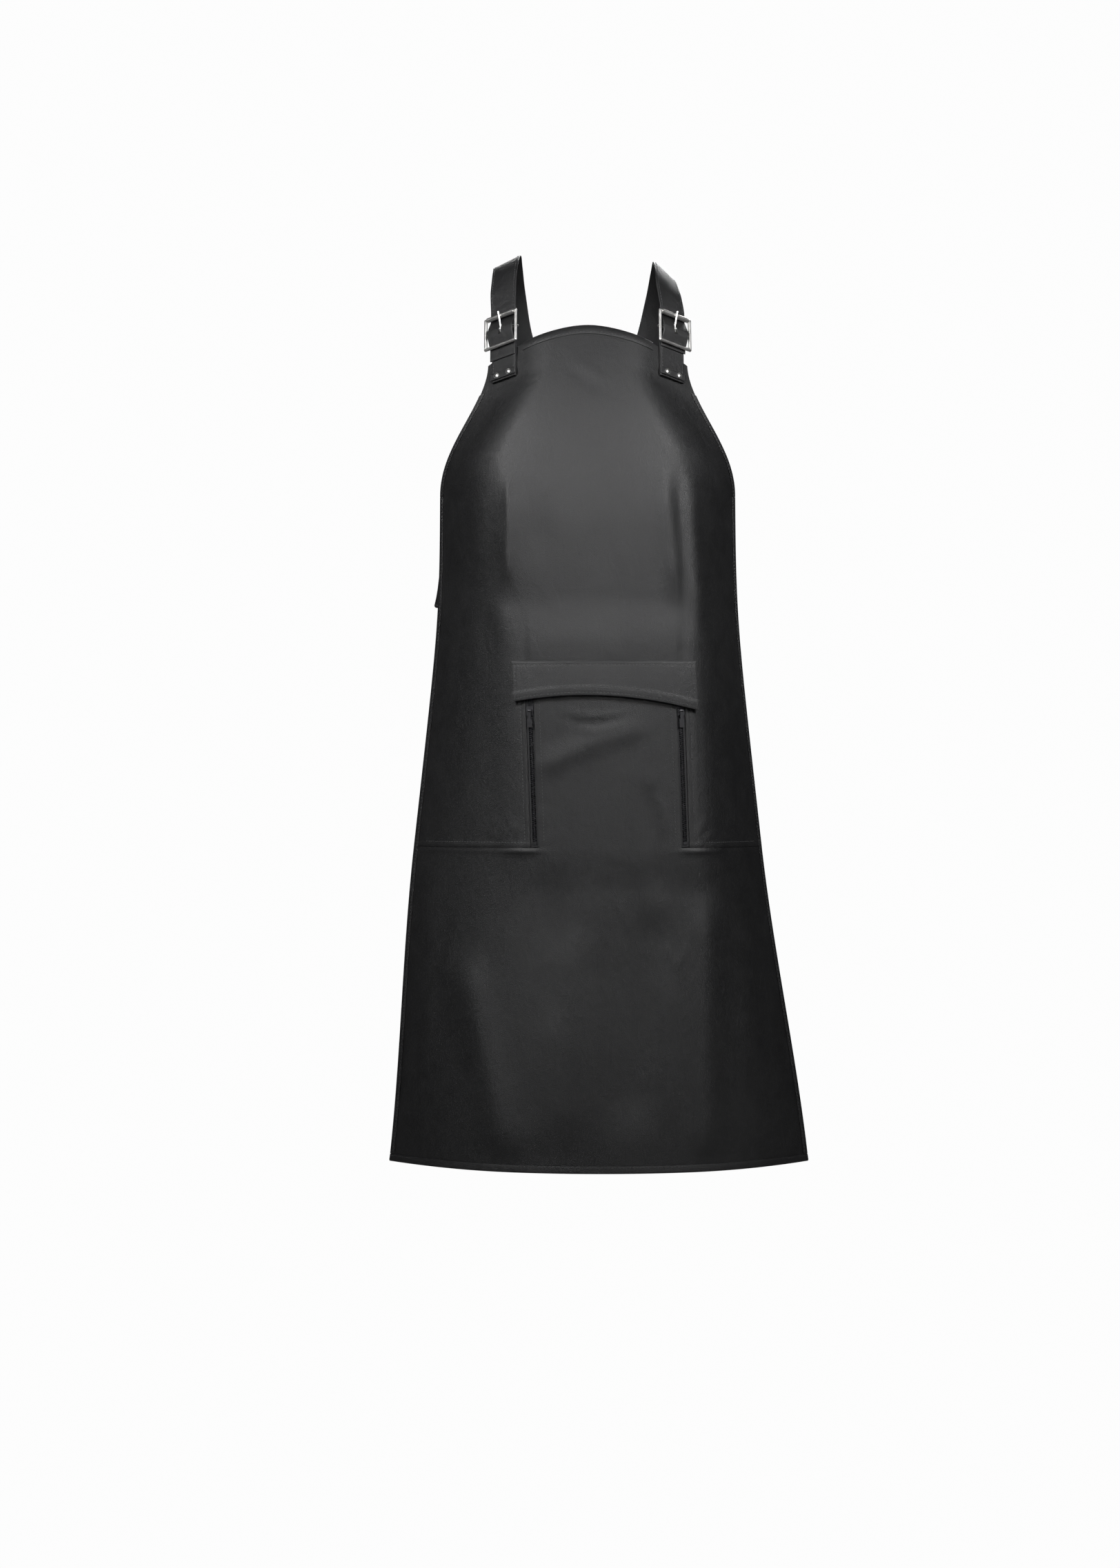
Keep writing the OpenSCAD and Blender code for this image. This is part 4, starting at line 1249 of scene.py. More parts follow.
    def bib(self) -> bpy.types.Object:
        """Chest panel and sides, down to the seam, with the two zip slots and the middle left out."""
        s, l = self.shape, self.layers
        columns, us, z = self.grid(self.pitch)
        k, mid = self.cells(columns, z)
        keep = (mid > s.seam_z) & ~((k < self.slot_u) & (mid < s.bib_low_z))
        back = l.leather_n + self.lift(us, z) + self.lap(us, z)
        shift = self.seam_shift(np.abs(z - s.seam_z) < SEAM_TOUCH, self.seam_gap / 2.0)
        skin = s.point(us, z, back + l.leather_t + self.relief(us, z)) + shift
        piece = ("bib_leather", "bib_panel", self.finishes.leather, (0.52, 0.68))
        return self.panel(piece, s.point(us, z, back) + shift, skin, keep)

    def skirt(self) -> bpy.types.Object:
        """Skirt and, in one piece with it, the panel between the zips."""
        s, l = self.shape, self.layers
        columns, us, z = self.grid(self.pitch)
        k, mid = self.cells(columns, z)
        keep = (mid < s.seam_z) | ((k < self.tongue_u) & (mid < s.tongue_top_z))
        back = l.leather_n + self.lift(us, z)
        seam = (np.abs(z - s.seam_z) < SEAM_TOUCH) & (np.abs(us) > self.tongue_u + 0.5)
        shift = self.seam_shift(seam, -self.seam_gap / 2.0)
        tuck = smooth((s.bib_low_z - 6.0 - z) / 10.0)
        skin = s.point(us, z, back + l.leather_t + self.relief(us, z) * tuck) + shift
        piece = ("skirt_leather", "skirt_panel", self.finishes.leather, (0.62, 0.66))
        return self.panel(piece, s.point(us, z, back) + shift, skin, keep)

    def core(self) -> bpy.types.Object:
        """Inner shielding sheet, ending inside the bindings."""
        s, l = self.shape, self.layers
        columns, us, z = self.grid(2.2 * self.pitch)
        k, mid = self.cells(columns, z)
        keep = (mid > s.lip_w) & (mid < s.profile_top) & (k < self.inner + 1.0)
        piece = ("shielding_sheet", "shielding_core", self.finishes.core, (0.62, 0.95))
        return self.panel(piece, s.point(us, z, l.core_n), s.point(us, z, l.core_n + l.core_t), keep)

    def lining(self) -> bpy.types.Object:
        """Lining cloth over the whole back."""
        s = self.shape
        _, us, z = self.grid(2.0 * self.pitch)
        keep = np.ones((z.shape[0] - 1, z.shape[1] - 1), bool)
        piece = ("lining_cloth", "lining", self.finishes.lining, (0.63, 1.02))
        return self.panel(piece, s.point(us, z, 0.0), s.point(us, z, self.layers.lining_t), keep)

    def bound_edge(self, name: str, inner: Array, outer: Array, tops: Array) -> bpy.types.Object:
        """A folded strip round an edge: a channel with rounded outer corners, swept along the edge.

        Args:
            name: The CAD node it stands for.
            inner: Points under the lips' edge, at depth 0, one per station.
            outer: Points on the sheet's edge, at depth 0.
            tops: Unit vector from the back to the front, per station, and at both places the same.

        Returns:
            The binding's object.
        """
        l = self.layers
        out = unit(outer - inner)
        width = np.linalg.norm(outer - inner, axis=-1)
        near, far = l.bind_gap, l.bind_gap + l.bind_t
        f0, f1, b0, b1 = l.front_n + near, l.front_n + far, -near, -far
        r, bulge, bevel, lip = 1.55, 0.25, 0.12, -2.0
        turn = np.linspace(0.0, np.pi / 2.0, 5)
        front_arc = [(far - r + r * math.sin(a), f1 - r + r * math.cos(a)) for a in turn]
        back_arc = [(far - r + r * math.cos(a), b1 + r - r * math.sin(a)) for a in turn]
        # Places below -1 are counted from the lips' edge, at lip; the others from the sheet's edge.
        profile = [(lip, f0 + 0.3), (-1.85, f1 - bevel), (-1.5, f1), (-0.5, f1 + bulge), *front_arc, *back_arc]
        profile += [(-0.5, b1), (-1.5, b1), (-1.85, b1 + bevel), (lip, b0 - 0.3), (lip, b0)]
        profile += [(near, b0), (near, f0), (lip, f0)]
        rings = []
        for a, n in profile:
            reach = np.full_like(width, a - lip) if a < -1.0 else width + a
            rings.append(inner + out * reach[:, None] + tops * n)
        obj = swept(name + "_strip", np.stack(rings, axis=1), 60.0)
        return self.finishes.fit(obj, self.finishes.leather, name)

    def side_edge(self, side: Side, low: float, high: float, name: str) -> bpy.types.Object:
        """Binding of one side between two heights."""
        s = self.shape
        z = runs((low, self.pitch), (high, 1.0))
        inner, outer = side.value * s.lip_reach(side.value, z), side.value * s.side_reach(side.value, z)
        a, b = s.point(inner, z, 0.0), s.point(outer, z, 0.0)
        tops = unit(s.point(outer, z, 1.0) - b)
        return self.bound_edge(name, a, b, tops)

    def level_edge(
        self, us_of: Callable[[float], Array], edge: float, lip: float, name: str
    ) -> bpy.types.Object:
        """Binding of the neckline or the hem.

        Args:
            us_of: Signed distances of the stations at a height.
            edge: Row height of the sheet's edge.
            lip: Row height of the lips' edge.
            name: The CAD node it stands for.

        Returns:
            The binding's object.
        """
        s = self.shape
        u0, u1 = us_of(lip), us_of(edge)
        a, b = s.point(u0, np.full_like(u0, lip), 0.0), s.point(u1, np.full_like(u1, edge), 0.0)
        tops = unit(s.point(u1, np.full_like(u1, edge), 1.0) - b)
        return self.bound_edge(name, a, b, tops)

    def bindings(self) -> None:
        """All six edge bindings; the neckline's ends under the strap ends."""
        s, gap, neck_half = self.shape, self.seam_gap, 76.0
        for side in Side:
            self.side_edge(side, s.lip_w + gap, s.arm_z - gap / 2.0, f"{side.word}_side_binding")
            self.side_edge(side, s.arm_z + gap / 2.0, s.profile_top, f"{side.word}_arm_binding")
        neck = runs((-neck_half, self.pitch), (neck_half, 1.0))
        self.level_edge(lambda z: neck, s.corner_z, s.corner_z - s.lip_w, "neckline_binding")
        columns = self.columns(self.pitch)

        def across(z: float) -> Array:
            """The columns' distances at a height."""
            return s.column_u(columns, self.inner, np.full_like(columns, z))

        self.level_edge(across, 0.0, s.lip_w, "hem_binding")

    def line(self, us: Array, z: Array, n: Array | float) -> tuple[Array, Array]:
        """A line drawn on the apron.

        Args:
            us: Signed distances from the middle.
            z: Row heights.
            n: Depth forward of the lining's back.

        Returns:
            The line's points and the outward direction at each.
        """
        us, z = np.broadcast_arrays(np.asarray(us, float), np.asarray(z, float))
        path = self.shape.point(us, z, n)
        return path, unit(self.shape.point(us, z, np.asarray(n) + 1.0) - path)

    def leather_line(self, us: Array, z: Array) -> tuple[Array, Array]:
        """A line on the front of the leather, over its lifts and welts."""
        us, z = np.broadcast_arrays(np.asarray(us, float), np.asarray(z, float))
        top = self.layers.front_n + self.lift(us, z) + self.lap(us, z) + self.relief(us, z)
        return self.line(us, z, top)

    def edge_stitches(self) -> bpy.types.Object:
        """Stitches through the lips of the hem, neckline, side and arm bindings."""
        s, l, inset = self.shape, self.layers, self.stitch_inset
        top = l.front_n + l.bind_gap + l.bind_t + 0.05
        z_hem, z_neck = s.lip_w - inset, s.corner_z - s.lip_w + inset
        # A column's station is its distance up to inner, plus a share of 2 up to the sheet's edge.
        last = self.inner + 1.99
        stations = np.linspace(-last, last, 181)
        hem = s.column_u(stations, self.inner, np.full_like(stations, z_hem))
        rows = [self.line(hem, z_hem, top), self.line(np.arange(-75.0, 75.5, STITCH_STEP), z_neck, top)]
        for side in Side:
            for low, high in ((s.lip_w + 3.0, s.arm_z - 1.0), (s.arm_z + 1.0, s.profile_top - 1.0)):
                z = runs((low, STITCH_STEP), (high, 1.0))
                lip, edge = s.lip_reach(side.value, z), s.side_reach(side.value, z)
                rows.append(self.line(side.value * mix(lip, edge, inset / s.lip_w), z, top))
        return sewn("edge_stitches", rows, self.finishes, "apron")

    def panel_stitches(self) -> bpy.types.Object:
        """Stitches along the side seams and down both sides of each zip."""
        s, off_slot, off_seam = self.shape, 6.3, 6.2
        share = np.linspace(0.0, 0.93, 90)
        rows = []
        for sign in (-1.0, 1.0):
            reach = float(s.lip_reach(sign, np.array(s.seam_z)))
            rows.append(self.leather_line(sign * mix(self.slot_u + 1.0, reach, share), s.seam_z + off_seam))
            z = runs((s.seam_z + 8.0, STITCH_STEP), (s.bib_low_z - 2.0, 1.0))
            rows.append(self.leather_line(np.full_like(z, sign * (self.slot_u + off_slot)), z))
            rows.append(self.leather_line(np.full_like(z[:-3], sign * (self.tongue_u - off_slot)), z[:-3]))
        return sewn("panel_stitches", rows, self.finishes, "apron")


@dataclass(frozen=True)
class WaistBand:
    """The band over the zips' tops: sewn on along its top, its turned lower edge free and arched.

    Lengths are in millimetres, but for the hinge, in metres, and the most area, in square metres.
    """

    apron: Apron
    top: float = 608.0
    low: float = 554.0
    arch: float = 12.0
    skew: float = 5.0
    half: float = 106.0
    turned: float = 13.0
    top_row: float = 5.0
    low_row: float = 3.2
    turned_row: float = 1.8
    end_row: float = 3.6
    rim: float = 2.2
    hinge: float = 0.012
    most_area: float = 0.0119

    def low_z(self, us: Array) -> Array:
        """Height of the lower edge: an arch that drops towards its right end."""
        c = us / self.half
        return self.low + self.arch * (1.0 - c * c) - self.skew * c

    def back(self, us: Array, z: Array) -> Array:
        """Depth of the band's back: it stands off by the square root of the share of the way down."""
        layers = self.apron.layers
        share = np.clip((self.top - z) / (self.top - self.low_z(us)), 0.0, 1.0)
        return layers.band_n + layers.band_flare * np.sqrt(share)

    def relief(self, us: Array, z: Array) -> Array:
        """The turned edge's second layer, dips along its stitches, and rounded rims, in millimetres."""
        above = z - self.low_z(us)
        edge = np.minimum(np.minimum(self.half - np.abs(us), above), self.top - z)
        rows = (
            above - self.low_row,
            above - self.turned + self.turned_row,
            self.top - self.top_row - z,
            self.half - np.abs(us) - self.end_row,
        )
        dips = sum(gauss(row, 1.0) for row in rows)
        ply = 0.6 * smooth((self.turned - above) / 2.4)
        return ply - 0.28 * dips - 0.55 * (1.0 - smooth(edge / self.rim))

    def line(self, us: Array, z: Array) -> tuple[Array, Array]:
        """A line on the band's front."""
        us, z = np.broadcast_arrays(np.asarray(us, float), np.asarray(z, float))
        return self.apron.line(us, z, self.back(us, z) + self.apron.layers.band_t + self.relief(us, z))

    def stitches(self) -> None:
        """Two rows along the turned edge and one up each end, which ride on the front flap, and one along the
        top.
        """
        us = np.arange(-self.half + self.end_row + 1.0, self.half - self.end_row, STITCH_STEP)
        heights = (self.low_z(us) + self.low_row, self.low_z(us) + self.turned - self.turned_row)
        low = [self.line(us, z) for z in heights]
        for sign in (-1.0, 1.0):
            end = sign * (self.half - self.end_row)
            foot = float(self.low_z(np.array(end))) + self.turned
            z = np.arange(foot, self.top - 11.0, STITCH_STEP)
            low.append(self.line(np.full_like(z, end), z))
        top = [self.line(us, np.full_like(us, self.top - self.top_row))]
        sewn("band_stitches", low, self.apron.finishes, "front_flap")
        sewn("band_top_stitches", top, self.apron.finishes, "apron")

    def build(self) -> bpy.types.Object:
        """The band itself, which bends from its sewn top to its free edge."""
        apron, layers = self.apron, self.apron.layers
        share = runs((0.0, 0.03), (0.34, 0.07), (0.82, 0.03), (1.0, 1.0))[:, None]
        us = runs((-self.half, 1.2), (-self.half + 7.0, 4.0), (self.half - 7.0, 1.2), (self.half, 1.0))[None, :]
        us, share = np.broadcast_arrays(us, share)
        z = mix(self.low_z(us), self.top, share)
        back = self.back(us, z)
        skin = apron.shape.point(us, z, back + layers.band_t + self.relief(us, z))
        keep = np.ones((us.shape[0] - 1, us.shape[1] - 1), bool)
        obj = shell("waist_band", apron.shape.point(us, z, back), skin, keep)
        area = apron.area(skin, keep)
        apron.finishes.dress(obj, apron.finishes.leather)
        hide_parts("front_band")
        min(area, self.most_area)
        crest = apron.shape.point(np.array(0.0), np.array(self.top), layers.band_n) * MM
        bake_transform(obj)
        log.info("%s: %.4f square metres", obj.name, area)
        return obj


# ---------------------------------------------------------------------------------------------
# Straps and what holds them
# ---------------------------------------------------------------------------------------------


def filled(path: Array, pitch: float) -> Array:
    """Adds evenly spaced points between the points of a polyline.

    Args:
        path: Points, one per row.
        pitch: Largest step.

    Returns:
        The finer polyline, with every given point still in it.
    """
    parts = []
    for a, b in zip(path[:-1], path[1:]):
        steps = max(int(math.ceil(np.linalg.norm(b - a) / pitch)), 1)
        parts.append(a + (b - a) * np.linspace(0.0, 1.0, steps + 1)[:-1, None])
    return np.concatenate([*parts, path[-1:]])


def rounded_edge(across: Array, half: float, r: float) -> Array:
    """Share of the full thickness across a strip: 1 in the middle, an ellipse over the last r."""
    t = np.clip((np.abs(across) - (half - r)) / r, 0.0, 1.0)
    return np.sqrt(1.0 - 0.88 * t * t)


@dataclass(frozen=True)
class StrapEnd:
    """The buckled end of a shoulder strap, drawn flat at a top corner: x across, y up, z out of the leather."""

    shape: WornShape
    layers: Layers
    strap_u: float = 98.0
    rivet_z: float = 943.0
    lean: float = math.radians(8.0)
    tab_rise: float = 58.0
    tab_t: float = 1.6
    strip_h: float = 9.0
    strip_t: float = 1.4
    strap_w: float = 38.0
    strap_t: float = 2.0
    bar_v: float = 20.0
    bar_r: float = 2.0
    pin_r: float = 1.75
    pin_drop: float = 3.0
    roller_wall: float = 0.95
    prong_r: float = 1.25
    rivet_pitch: float = 18.0
    rivet_r: float = 1.4
    bar_clear: float = 1.2
    ply_gap: float = 0.2
    hole_room: float = 0.1
    stitch_inset: float = 2.6

    @property
    def hole(self) -> float:
        """Half width of a rivet's hole."""
        return self.rivet_r + self.hole_room

    @property
    def front_ply(self) -> float:
        """Back of the tab's front ply."""
        return self.layers.clear + self.tab_t + self.ply_gap

    @property
    def strip_n(self) -> float:
        """Back of the riveted cross strip."""
        return self.front_ply + self.tab_t + self.layers.clear

    @property
    def tail_n(self) -> float:
        """Back of the strap's tail."""
        return self.front_ply + self.tab_t + self.ply_gap

    @property
    def frame_n(self) -> float:
        """Middle of the buckle's frame."""
        return self.tail_n + self.strap_t + self.bar_clear + self.bar_r

    @property
    def pin_n(self) -> float:
        """Middle of the buckle's centre bar."""
        return self.frame_n - self.pin_drop

    @property
    def loop_in(self) -> float:
        """Inner radius of the tab's loop round the centre bar."""
        return self.pin_r + 0.2

    @property
    def over_n(self) -> float:
        """Back of the strap where it passes over the loop."""
        return self.pin_n + self.loop_in + self.tab_t + 0.25

    @property
    def top_n(self) -> float:
        """Back of the strap where it passes under the roller."""
        roller_r = self.bar_r + 0.05 + self.roller_wall
        return self.frame_n - roller_r - self.bar_clear - self.strap_t

    @property
    def slot_low(self) -> float:
        """Height at which the slots for the prong begin."""
        return self.tab_rise - 5.5

    def place(self, side: Side, local: Array) -> Array:
        """Brings local points to the corner on one side; the left end is the right one's mirror image.

        Args:
            side: Which corner.
            local: Points, or directions where the last axis has a fourth value of 0.

        Returns:
            Points in millimetres, or directions.
        """
        s = self.shape
        u, z, n = np.array(self.strap_u), np.array(self.rivet_z), self.layers.front_n
        anchor = s.point(u, z, n)
        level = unit(s.point(u + 1.0, z, n) - anchor)
        outward = unit(np.cross(level, s.point(u, z + 1.0, n) - anchor))
        rise = np.cross(outward, level)
        across = math.cos(self.lean) * level + math.sin(self.lean) * rise
        upward = math.cos(self.lean) * rise - math.sin(self.lean) * level
        turn = np.stack([across, upward, outward])
        shift = local[..., 3:] if local.shape[-1] == 4 else 1.0
        out = local[..., :3] @ turn + anchor * shift
        if side is Side.LEFT:
            middle = 2.0 * s.chest_x * shift
            out = np.concatenate([middle - out[..., :1], out[..., 1:]], axis=-1)
        return out

    def strip(self, side: Side, path: Array, across: Array, thick: float, r: float) -> tuple[Array, Array]:
        """Both skins of a strip that follows a path up and out of the corner.

        Args:
            side: Which corner.
            path: Points of the strip's middle, as height and depth.
            across: Stations across the strip.
            thick: Thickness.
            r: How wide the rounding at its edges is.

        Returns:
            Grids of the back and the front skin.
        """
        step = np.gradient(path, axis=0)
        step = step / np.linalg.norm(step, axis=1, keepdims=True)
        normal = np.stack([-step[:, 1], step[:, 0]], axis=1)
        half = thick / 2.0 * rounded_edge(across, float(np.abs(across).max()), r)
        grids = []
        for sign in (-1.0, 1.0):
            flat = path[:, None, :] + sign * normal[:, None, :] * half[None, :, None]
            x = np.broadcast_to(across, flat.shape[:2])
            grids.append(self.place(side, np.concatenate([x[..., None], flat], axis=-1)))
        return grids[0], grids[1]

    def stations_across(self, half: float, slot: float, holes: bool) -> Array:
        """Stations across a strip, with the edges of its slot and its rivet holes among them."""
        edge = [half - 1.6, half - 0.9, half - 0.4, half - 0.12, half]
        inner = [0.0, slot, slot + 1.0]
        if holes:
            middle = self.rivet_pitch / 2.0
            inner += [middle - self.rivet_r - self.hole_room, middle + self.rivet_r + self.hole_room]
        right = filled(np.array(sorted(inner + edge))[:, None], 1.8)[:, 0]
        return np.concatenate([-right[:0:-1], right])

    def in_hole(self, heights: Array, across: Array) -> Array:
        """Which cells of a strip lie in a rivet's hole, by the cells' middle heights and distances."""
        level = np.abs(heights) < self.hole
        return level[:, None] & (np.abs(across - self.rivet_pitch / 2.0) < self.hole)[None, :]

    def tab(self, side: Side, finishes: Finishes) -> None:
        """Folded leather tab that carries the buckle, with its stitches.

        Args:
            side: Which corner.
            finishes: The finishes.
        """
        loop_mid = self.loop_in + self.tab_t / 2.0
        rear, front = self.layers.clear + self.tab_t / 2.0, self.front_ply + self.tab_t / 2.0
        foot, hole = -self.strip_h / 2.0 - 2.0, self.hole
        rear_run, front_run = 9.0, 6.0
        slot_run = self.tab_rise - self.slot_low
        turn = np.radians(np.linspace(-90.0, 90.0, 17))
        loop = np.stack([self.tab_rise + loop_mid * np.cos(turn), self.pin_n + loop_mid * np.sin(turn)], axis=1)
        low = loop[0] + (np.array([self.tab_rise - rear_run, rear]) - loop[0]) * slot_run / rear_run
        shoulder = np.array([self.tab_rise - front_run, self.pin_n + loop_mid - 1.25])
        high = loop[-1] + (shoulder - loop[-1]) * slot_run / front_run
        up = [[foot, rear], [-hole, rear], [hole, rear], [self.tab_rise - rear_run, rear], low]
        bend = self.tab_rise - self.bar_v + 2.5
        down = [high, shoulder, [bend, front], [hole, front], [-hole, front], [foot, front]]
        path = filled(np.concatenate([np.array(up), loop, np.array(down)]), 1.7)
        half, slot = self.strap_w / 2.0 - 1.0, self.prong_r + 1.1
        across = self.stations_across(half, slot, True)
        back, skin = self.strip(side, path, across, self.tab_t, 1.1)
        x, v = np.abs(middles(across)), middles(path[:, 0])
        in_slot = (v > self.slot_low)[:, None] & (x < slot)[None, :]
        obj = shell(f"{side.word}_buckle_tab", back, skin, ~(in_slot | self.in_hole(v, x)))
        finishes.fit(obj, finishes.strap, f"{side.word}_strap_tab")
        top = front + self.tab_t / 2.0
        corner = half - self.stitch_inset
        row = np.array([[-corner, foot + self.stitch_inset, top], [-corner, self.tab_rise - self.bar_v, top]])
        rows = [filled(row * np.array([sign, 1.0, 1.0]), 2.0) for sign in (1.0, -1.0)]
        out = self.place(side, OUTWARD)[None]
        paths = [(self.place(side, r), np.repeat(out, len(r), axis=0)) for r in rows]
        sewn(f"{side.word}_tab_stitches", paths, finishes, "apron")

    def cross_strip(self, side: Side, finishes: Finishes) -> bpy.types.Object:
        """Dark strip across the tab's foot, held by the two rivets.

        Args:
            side: Which corner.
            finishes: The finishes.

        Returns:
            The strip.
        """
        half, hole, rise = self.strap_w / 2.0 + 0.5, self.hole, self.strip_h / 2.0
        edge = [rise - 1.2, rise - 0.6, rise - 0.2, rise]
        heights = np.array(sorted([-e for e in edge] + [-hole, 0.0, hole] + edge))
        across = self.stations_across(half, 1.0, True)
        middle = self.strip_n + self.strip_t / 2.0
        path = np.stack([heights, np.full_like(heights, middle)], axis=1)
        back, skin = self.strip(side, path, across, self.strip_t, 1.1)
        out = self.place(side, OUTWARD)
        sink = (1.0 - rounded_edge(heights, rise, 1.2)) * self.strip_t / 2.0
        skin, back = skin - out * sink[:, None, None], back + out * sink[:, None, None]
        keep = ~self.in_hole(middles(heights), np.abs(middles(across)))
        obj = shell(f"{side.word}_riveted_strip", back, skin, keep)
        return finishes.fit(obj, finishes.leather, f"{side.word}_anchor_strip")


def sewn(name: str, paths: Sequence[tuple[Array, Array]], finishes: Finishes, body: str) -> bpy.types.Object:
    """Rows of stitches that ride on a body.

    Args:
        name: The piece's name.
        paths: For each row its polyline and outward directions.
        finishes: The finishes.
        body: The body they ride on.

    Returns:
        The stitches.
    """
    obj = Thread().sew(name, paths)
    finishes.dress(obj, finishes.thread)
    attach(obj, body)
    return obj


@dataclass(frozen=True)
class StrapRoute:
    """Where one strap runs after its buckle: points counted from the middle of the chest, and outward sides."""

    side: Side
    tail: float
    points: tuple[tuple[float, float, float, float, float, float], ...]


RIGHT_ROUTE = StrapRoute(Side.RIGHT, 5.0, (
    (99, -8, 1066, 0.6, -0.68, 0.42),
    (96, 12, 1086, 0.66, -0.3, 0.69),
    (95, 34, 1094, 0.68, 0, 0.73),
    (94, 58, 1086, 0.6, 0.42, 0.68),
    (90, 82, 1060, 0.45, 0.68, 0.58),
    (79, 106, 1014, 0.25, 0.88, 0.4),
    (55, 127, 955, 0.1, 0.97, 0.2),
    (22, 138, 895, 0, 1, 0.05),
    (-18, 140, 840, -0.05, 1, -0.03),
    (-62, 130, 792, -0.2, 0.97, -0.08),
    (-106, 107, 750, -0.5, 0.85, -0.05),
    (-142, 75, 718, -0.75, 0.65, 0),
))
LEFT_ROUTE = StrapRoute(Side.LEFT, 16.0, (
    (-103, -8, 1068, -0.55, -0.7, 0.45),
    (-101, 12, 1094, -0.5, -0.35, 0.79),
    (-99, 34, 1106, -0.42, 0, 0.9),
    (-98, 58, 1098, -0.38, 0.45, 0.8),
    (-95, 82, 1070, -0.3, 0.7, 0.64),
    (-86, 107, 1018, -0.15, 0.9, 0.4),
    (-62, 130, 955, -0.05, 0.97, 0.2),
    (-26, 143, 895, 0, 1, 0.05),
    (16, 145, 840, 0.05, 1, -0.03),
    (62, 134, 792, 0.2, 0.97, -0.08),
    (106, 109, 750, 0.5, 0.85, -0.05),
    (142, 76, 718, 0.75, 0.65, 0),
))


@dataclass(frozen=True)
class Strap:
    """One shoulder strap: a long ribbon threaded through its buckle, over the shoulder and across the back."""

    end: StrapEnd
    route: StrapRoute
    end_z: float = 690.0
    overlap: float = 40.0
    end_out: float = 14.0
    slot_run: float = 10.0
    stitch_inset: float = 3.2
    buckle_room: float = 9.0
    beyond: float = 999.0

    def threaded(self) -> Array:
        """Middle line in the buckle, as height and depth, from the tail's tip to past the roller."""
        e, half = self.end, self.end.strap_t / 2.0
        mid, top = e.tab_rise, e.tab_rise + e.bar_v
        return np.array([
            [mid - e.bar_v - self.route.tail, e.tail_n + half],
            [mid - e.bar_v - 2.0, e.tail_n + half],
            [mid - e.bar_v + 1.5, e.tail_n + half + 0.3],
            [mid - 6.0, e.over_n + half - 0.5],
            [mid - 2.0, e.over_n + half],
            [mid + 2.0, e.over_n + half],
            [mid + 6.0, e.over_n + half - 1.6],
            [top - 2.0, e.top_n + half + 0.3],
            [top + 3.0, e.top_n + half],
            [top + 12.0, e.top_n + half],
        ])

    def sewn_end(self) -> tuple[Array, Array]:
        """Points and outward directions of the end that is sewn on behind the opposite side edge."""
        s, l, sign = self.end.shape, self.end.layers, float(self.route.side.value)
        z0 = np.array(self.end_z)
        reach = s.side_reach(-sign, z0)
        _, slope = s.profile(reach, reach, z0)
        share = 1.0 / math.sqrt(1.0 + float(slope) ** 2)
        back_n = -l.bind_gap - l.bind_t - 2.0 * l.clear - self.end.strap_t / 2.0
        sideways = unit(s.point(-sign * reach, z0, 0.0) - s.point(-sign * (reach - 1.0), z0, 0.0))
        backs = np.array([-self.end_out, 0.0, s.lip_w, self.overlap / 2.0, self.overlap])
        us = -sign * (reach - share * np.maximum(backs, 0.0))
        rise = self.end_z + (self.overlap - backs) / 8.0
        points = s.point(us, rise, back_n) - np.minimum(backs, 0.0)[:, None] * sideways
        at = us - sign
        z = np.full_like(at, self.end_z)
        p = s.point(at, z, 0.0)
        out = unit(np.cross(s.point(at + 1.0, z, 0.0) - p, s.point(at, z + 1.0, 0.0) - p))
        return points, out

    def line(self, steps: int = 9) -> tuple[Array, Array, Array]:
        """Stations along the whole strap.

        Args:
            steps: Stations per stretch of the free route.

        Returns:
            Points, outward directions, and heights above the rivets, which are a large number past the buckle.
        """
        e, side = self.end, self.route.side
        raw = self.threaded()
        lift = np.array([e.slot_low, e.tab_rise + self.slot_run])
        extra = np.stack([lift, np.interp(lift, raw[:, 0], raw[:, 1])], axis=1)
        fine = filled(np.array(sorted(np.concatenate([raw, extra]).tolist())), 1.7)
        local = np.concatenate([np.zeros((len(fine), 1)), fine], axis=1)
        first = e.place(side, local)
        outward = e.place(side, OUTWARD)
        last_two = e.place(side, np.concatenate([np.zeros((2, 1)), raw[-2:]], axis=1))
        hand = np.array(self.route.points)
        path = hand[:, :3] + np.array([e.shape.chest_x, 0.0, 0.0])
        ends, end_outs = self.sewn_end()
        knots = np.concatenate([last_two, path, ends])
        outs = np.concatenate([np.repeat(outward[None], 2, axis=0), unit(hand[:, 3:]), end_outs])
        knots = np.concatenate([knots, knots[-1:]])
        a, b, c, d = knots[:-3], knots[1:-2], knots[2:-1], knots[3:]
        length = np.linalg.norm(c - b, axis=1, keepdims=True)
        leave, arrive = unit(c - a) * length, unit(d - b) * length
        t = (np.arange(steps) / steps)[None, :, None]
        h = 2 * t**3 - 3 * t**2 + 1, t**3 - 2 * t**2 + t, 3 * t**2 - 2 * t**3, t**3 - t**2
        curve = h[0] * b[:, None] + h[1] * leave[:, None] + h[2] * c[:, None] + h[3] * arrive[:, None]
        facing = unit(mix(outs[1:-1, None], outs[2:, None], t))
        points = np.concatenate([first[:-1], curve.reshape(-1, 3), knots[-1:]])
        buckled = np.repeat(outward[None], len(first) - 1, axis=0)
        normals = np.concatenate([buckled, facing.reshape(-1, 3), outs[-1:]])
        heights = np.concatenate([fine[:-1, 0], np.full(len(points) - len(fine) + 1, self.beyond)])
        return points, normals, heights

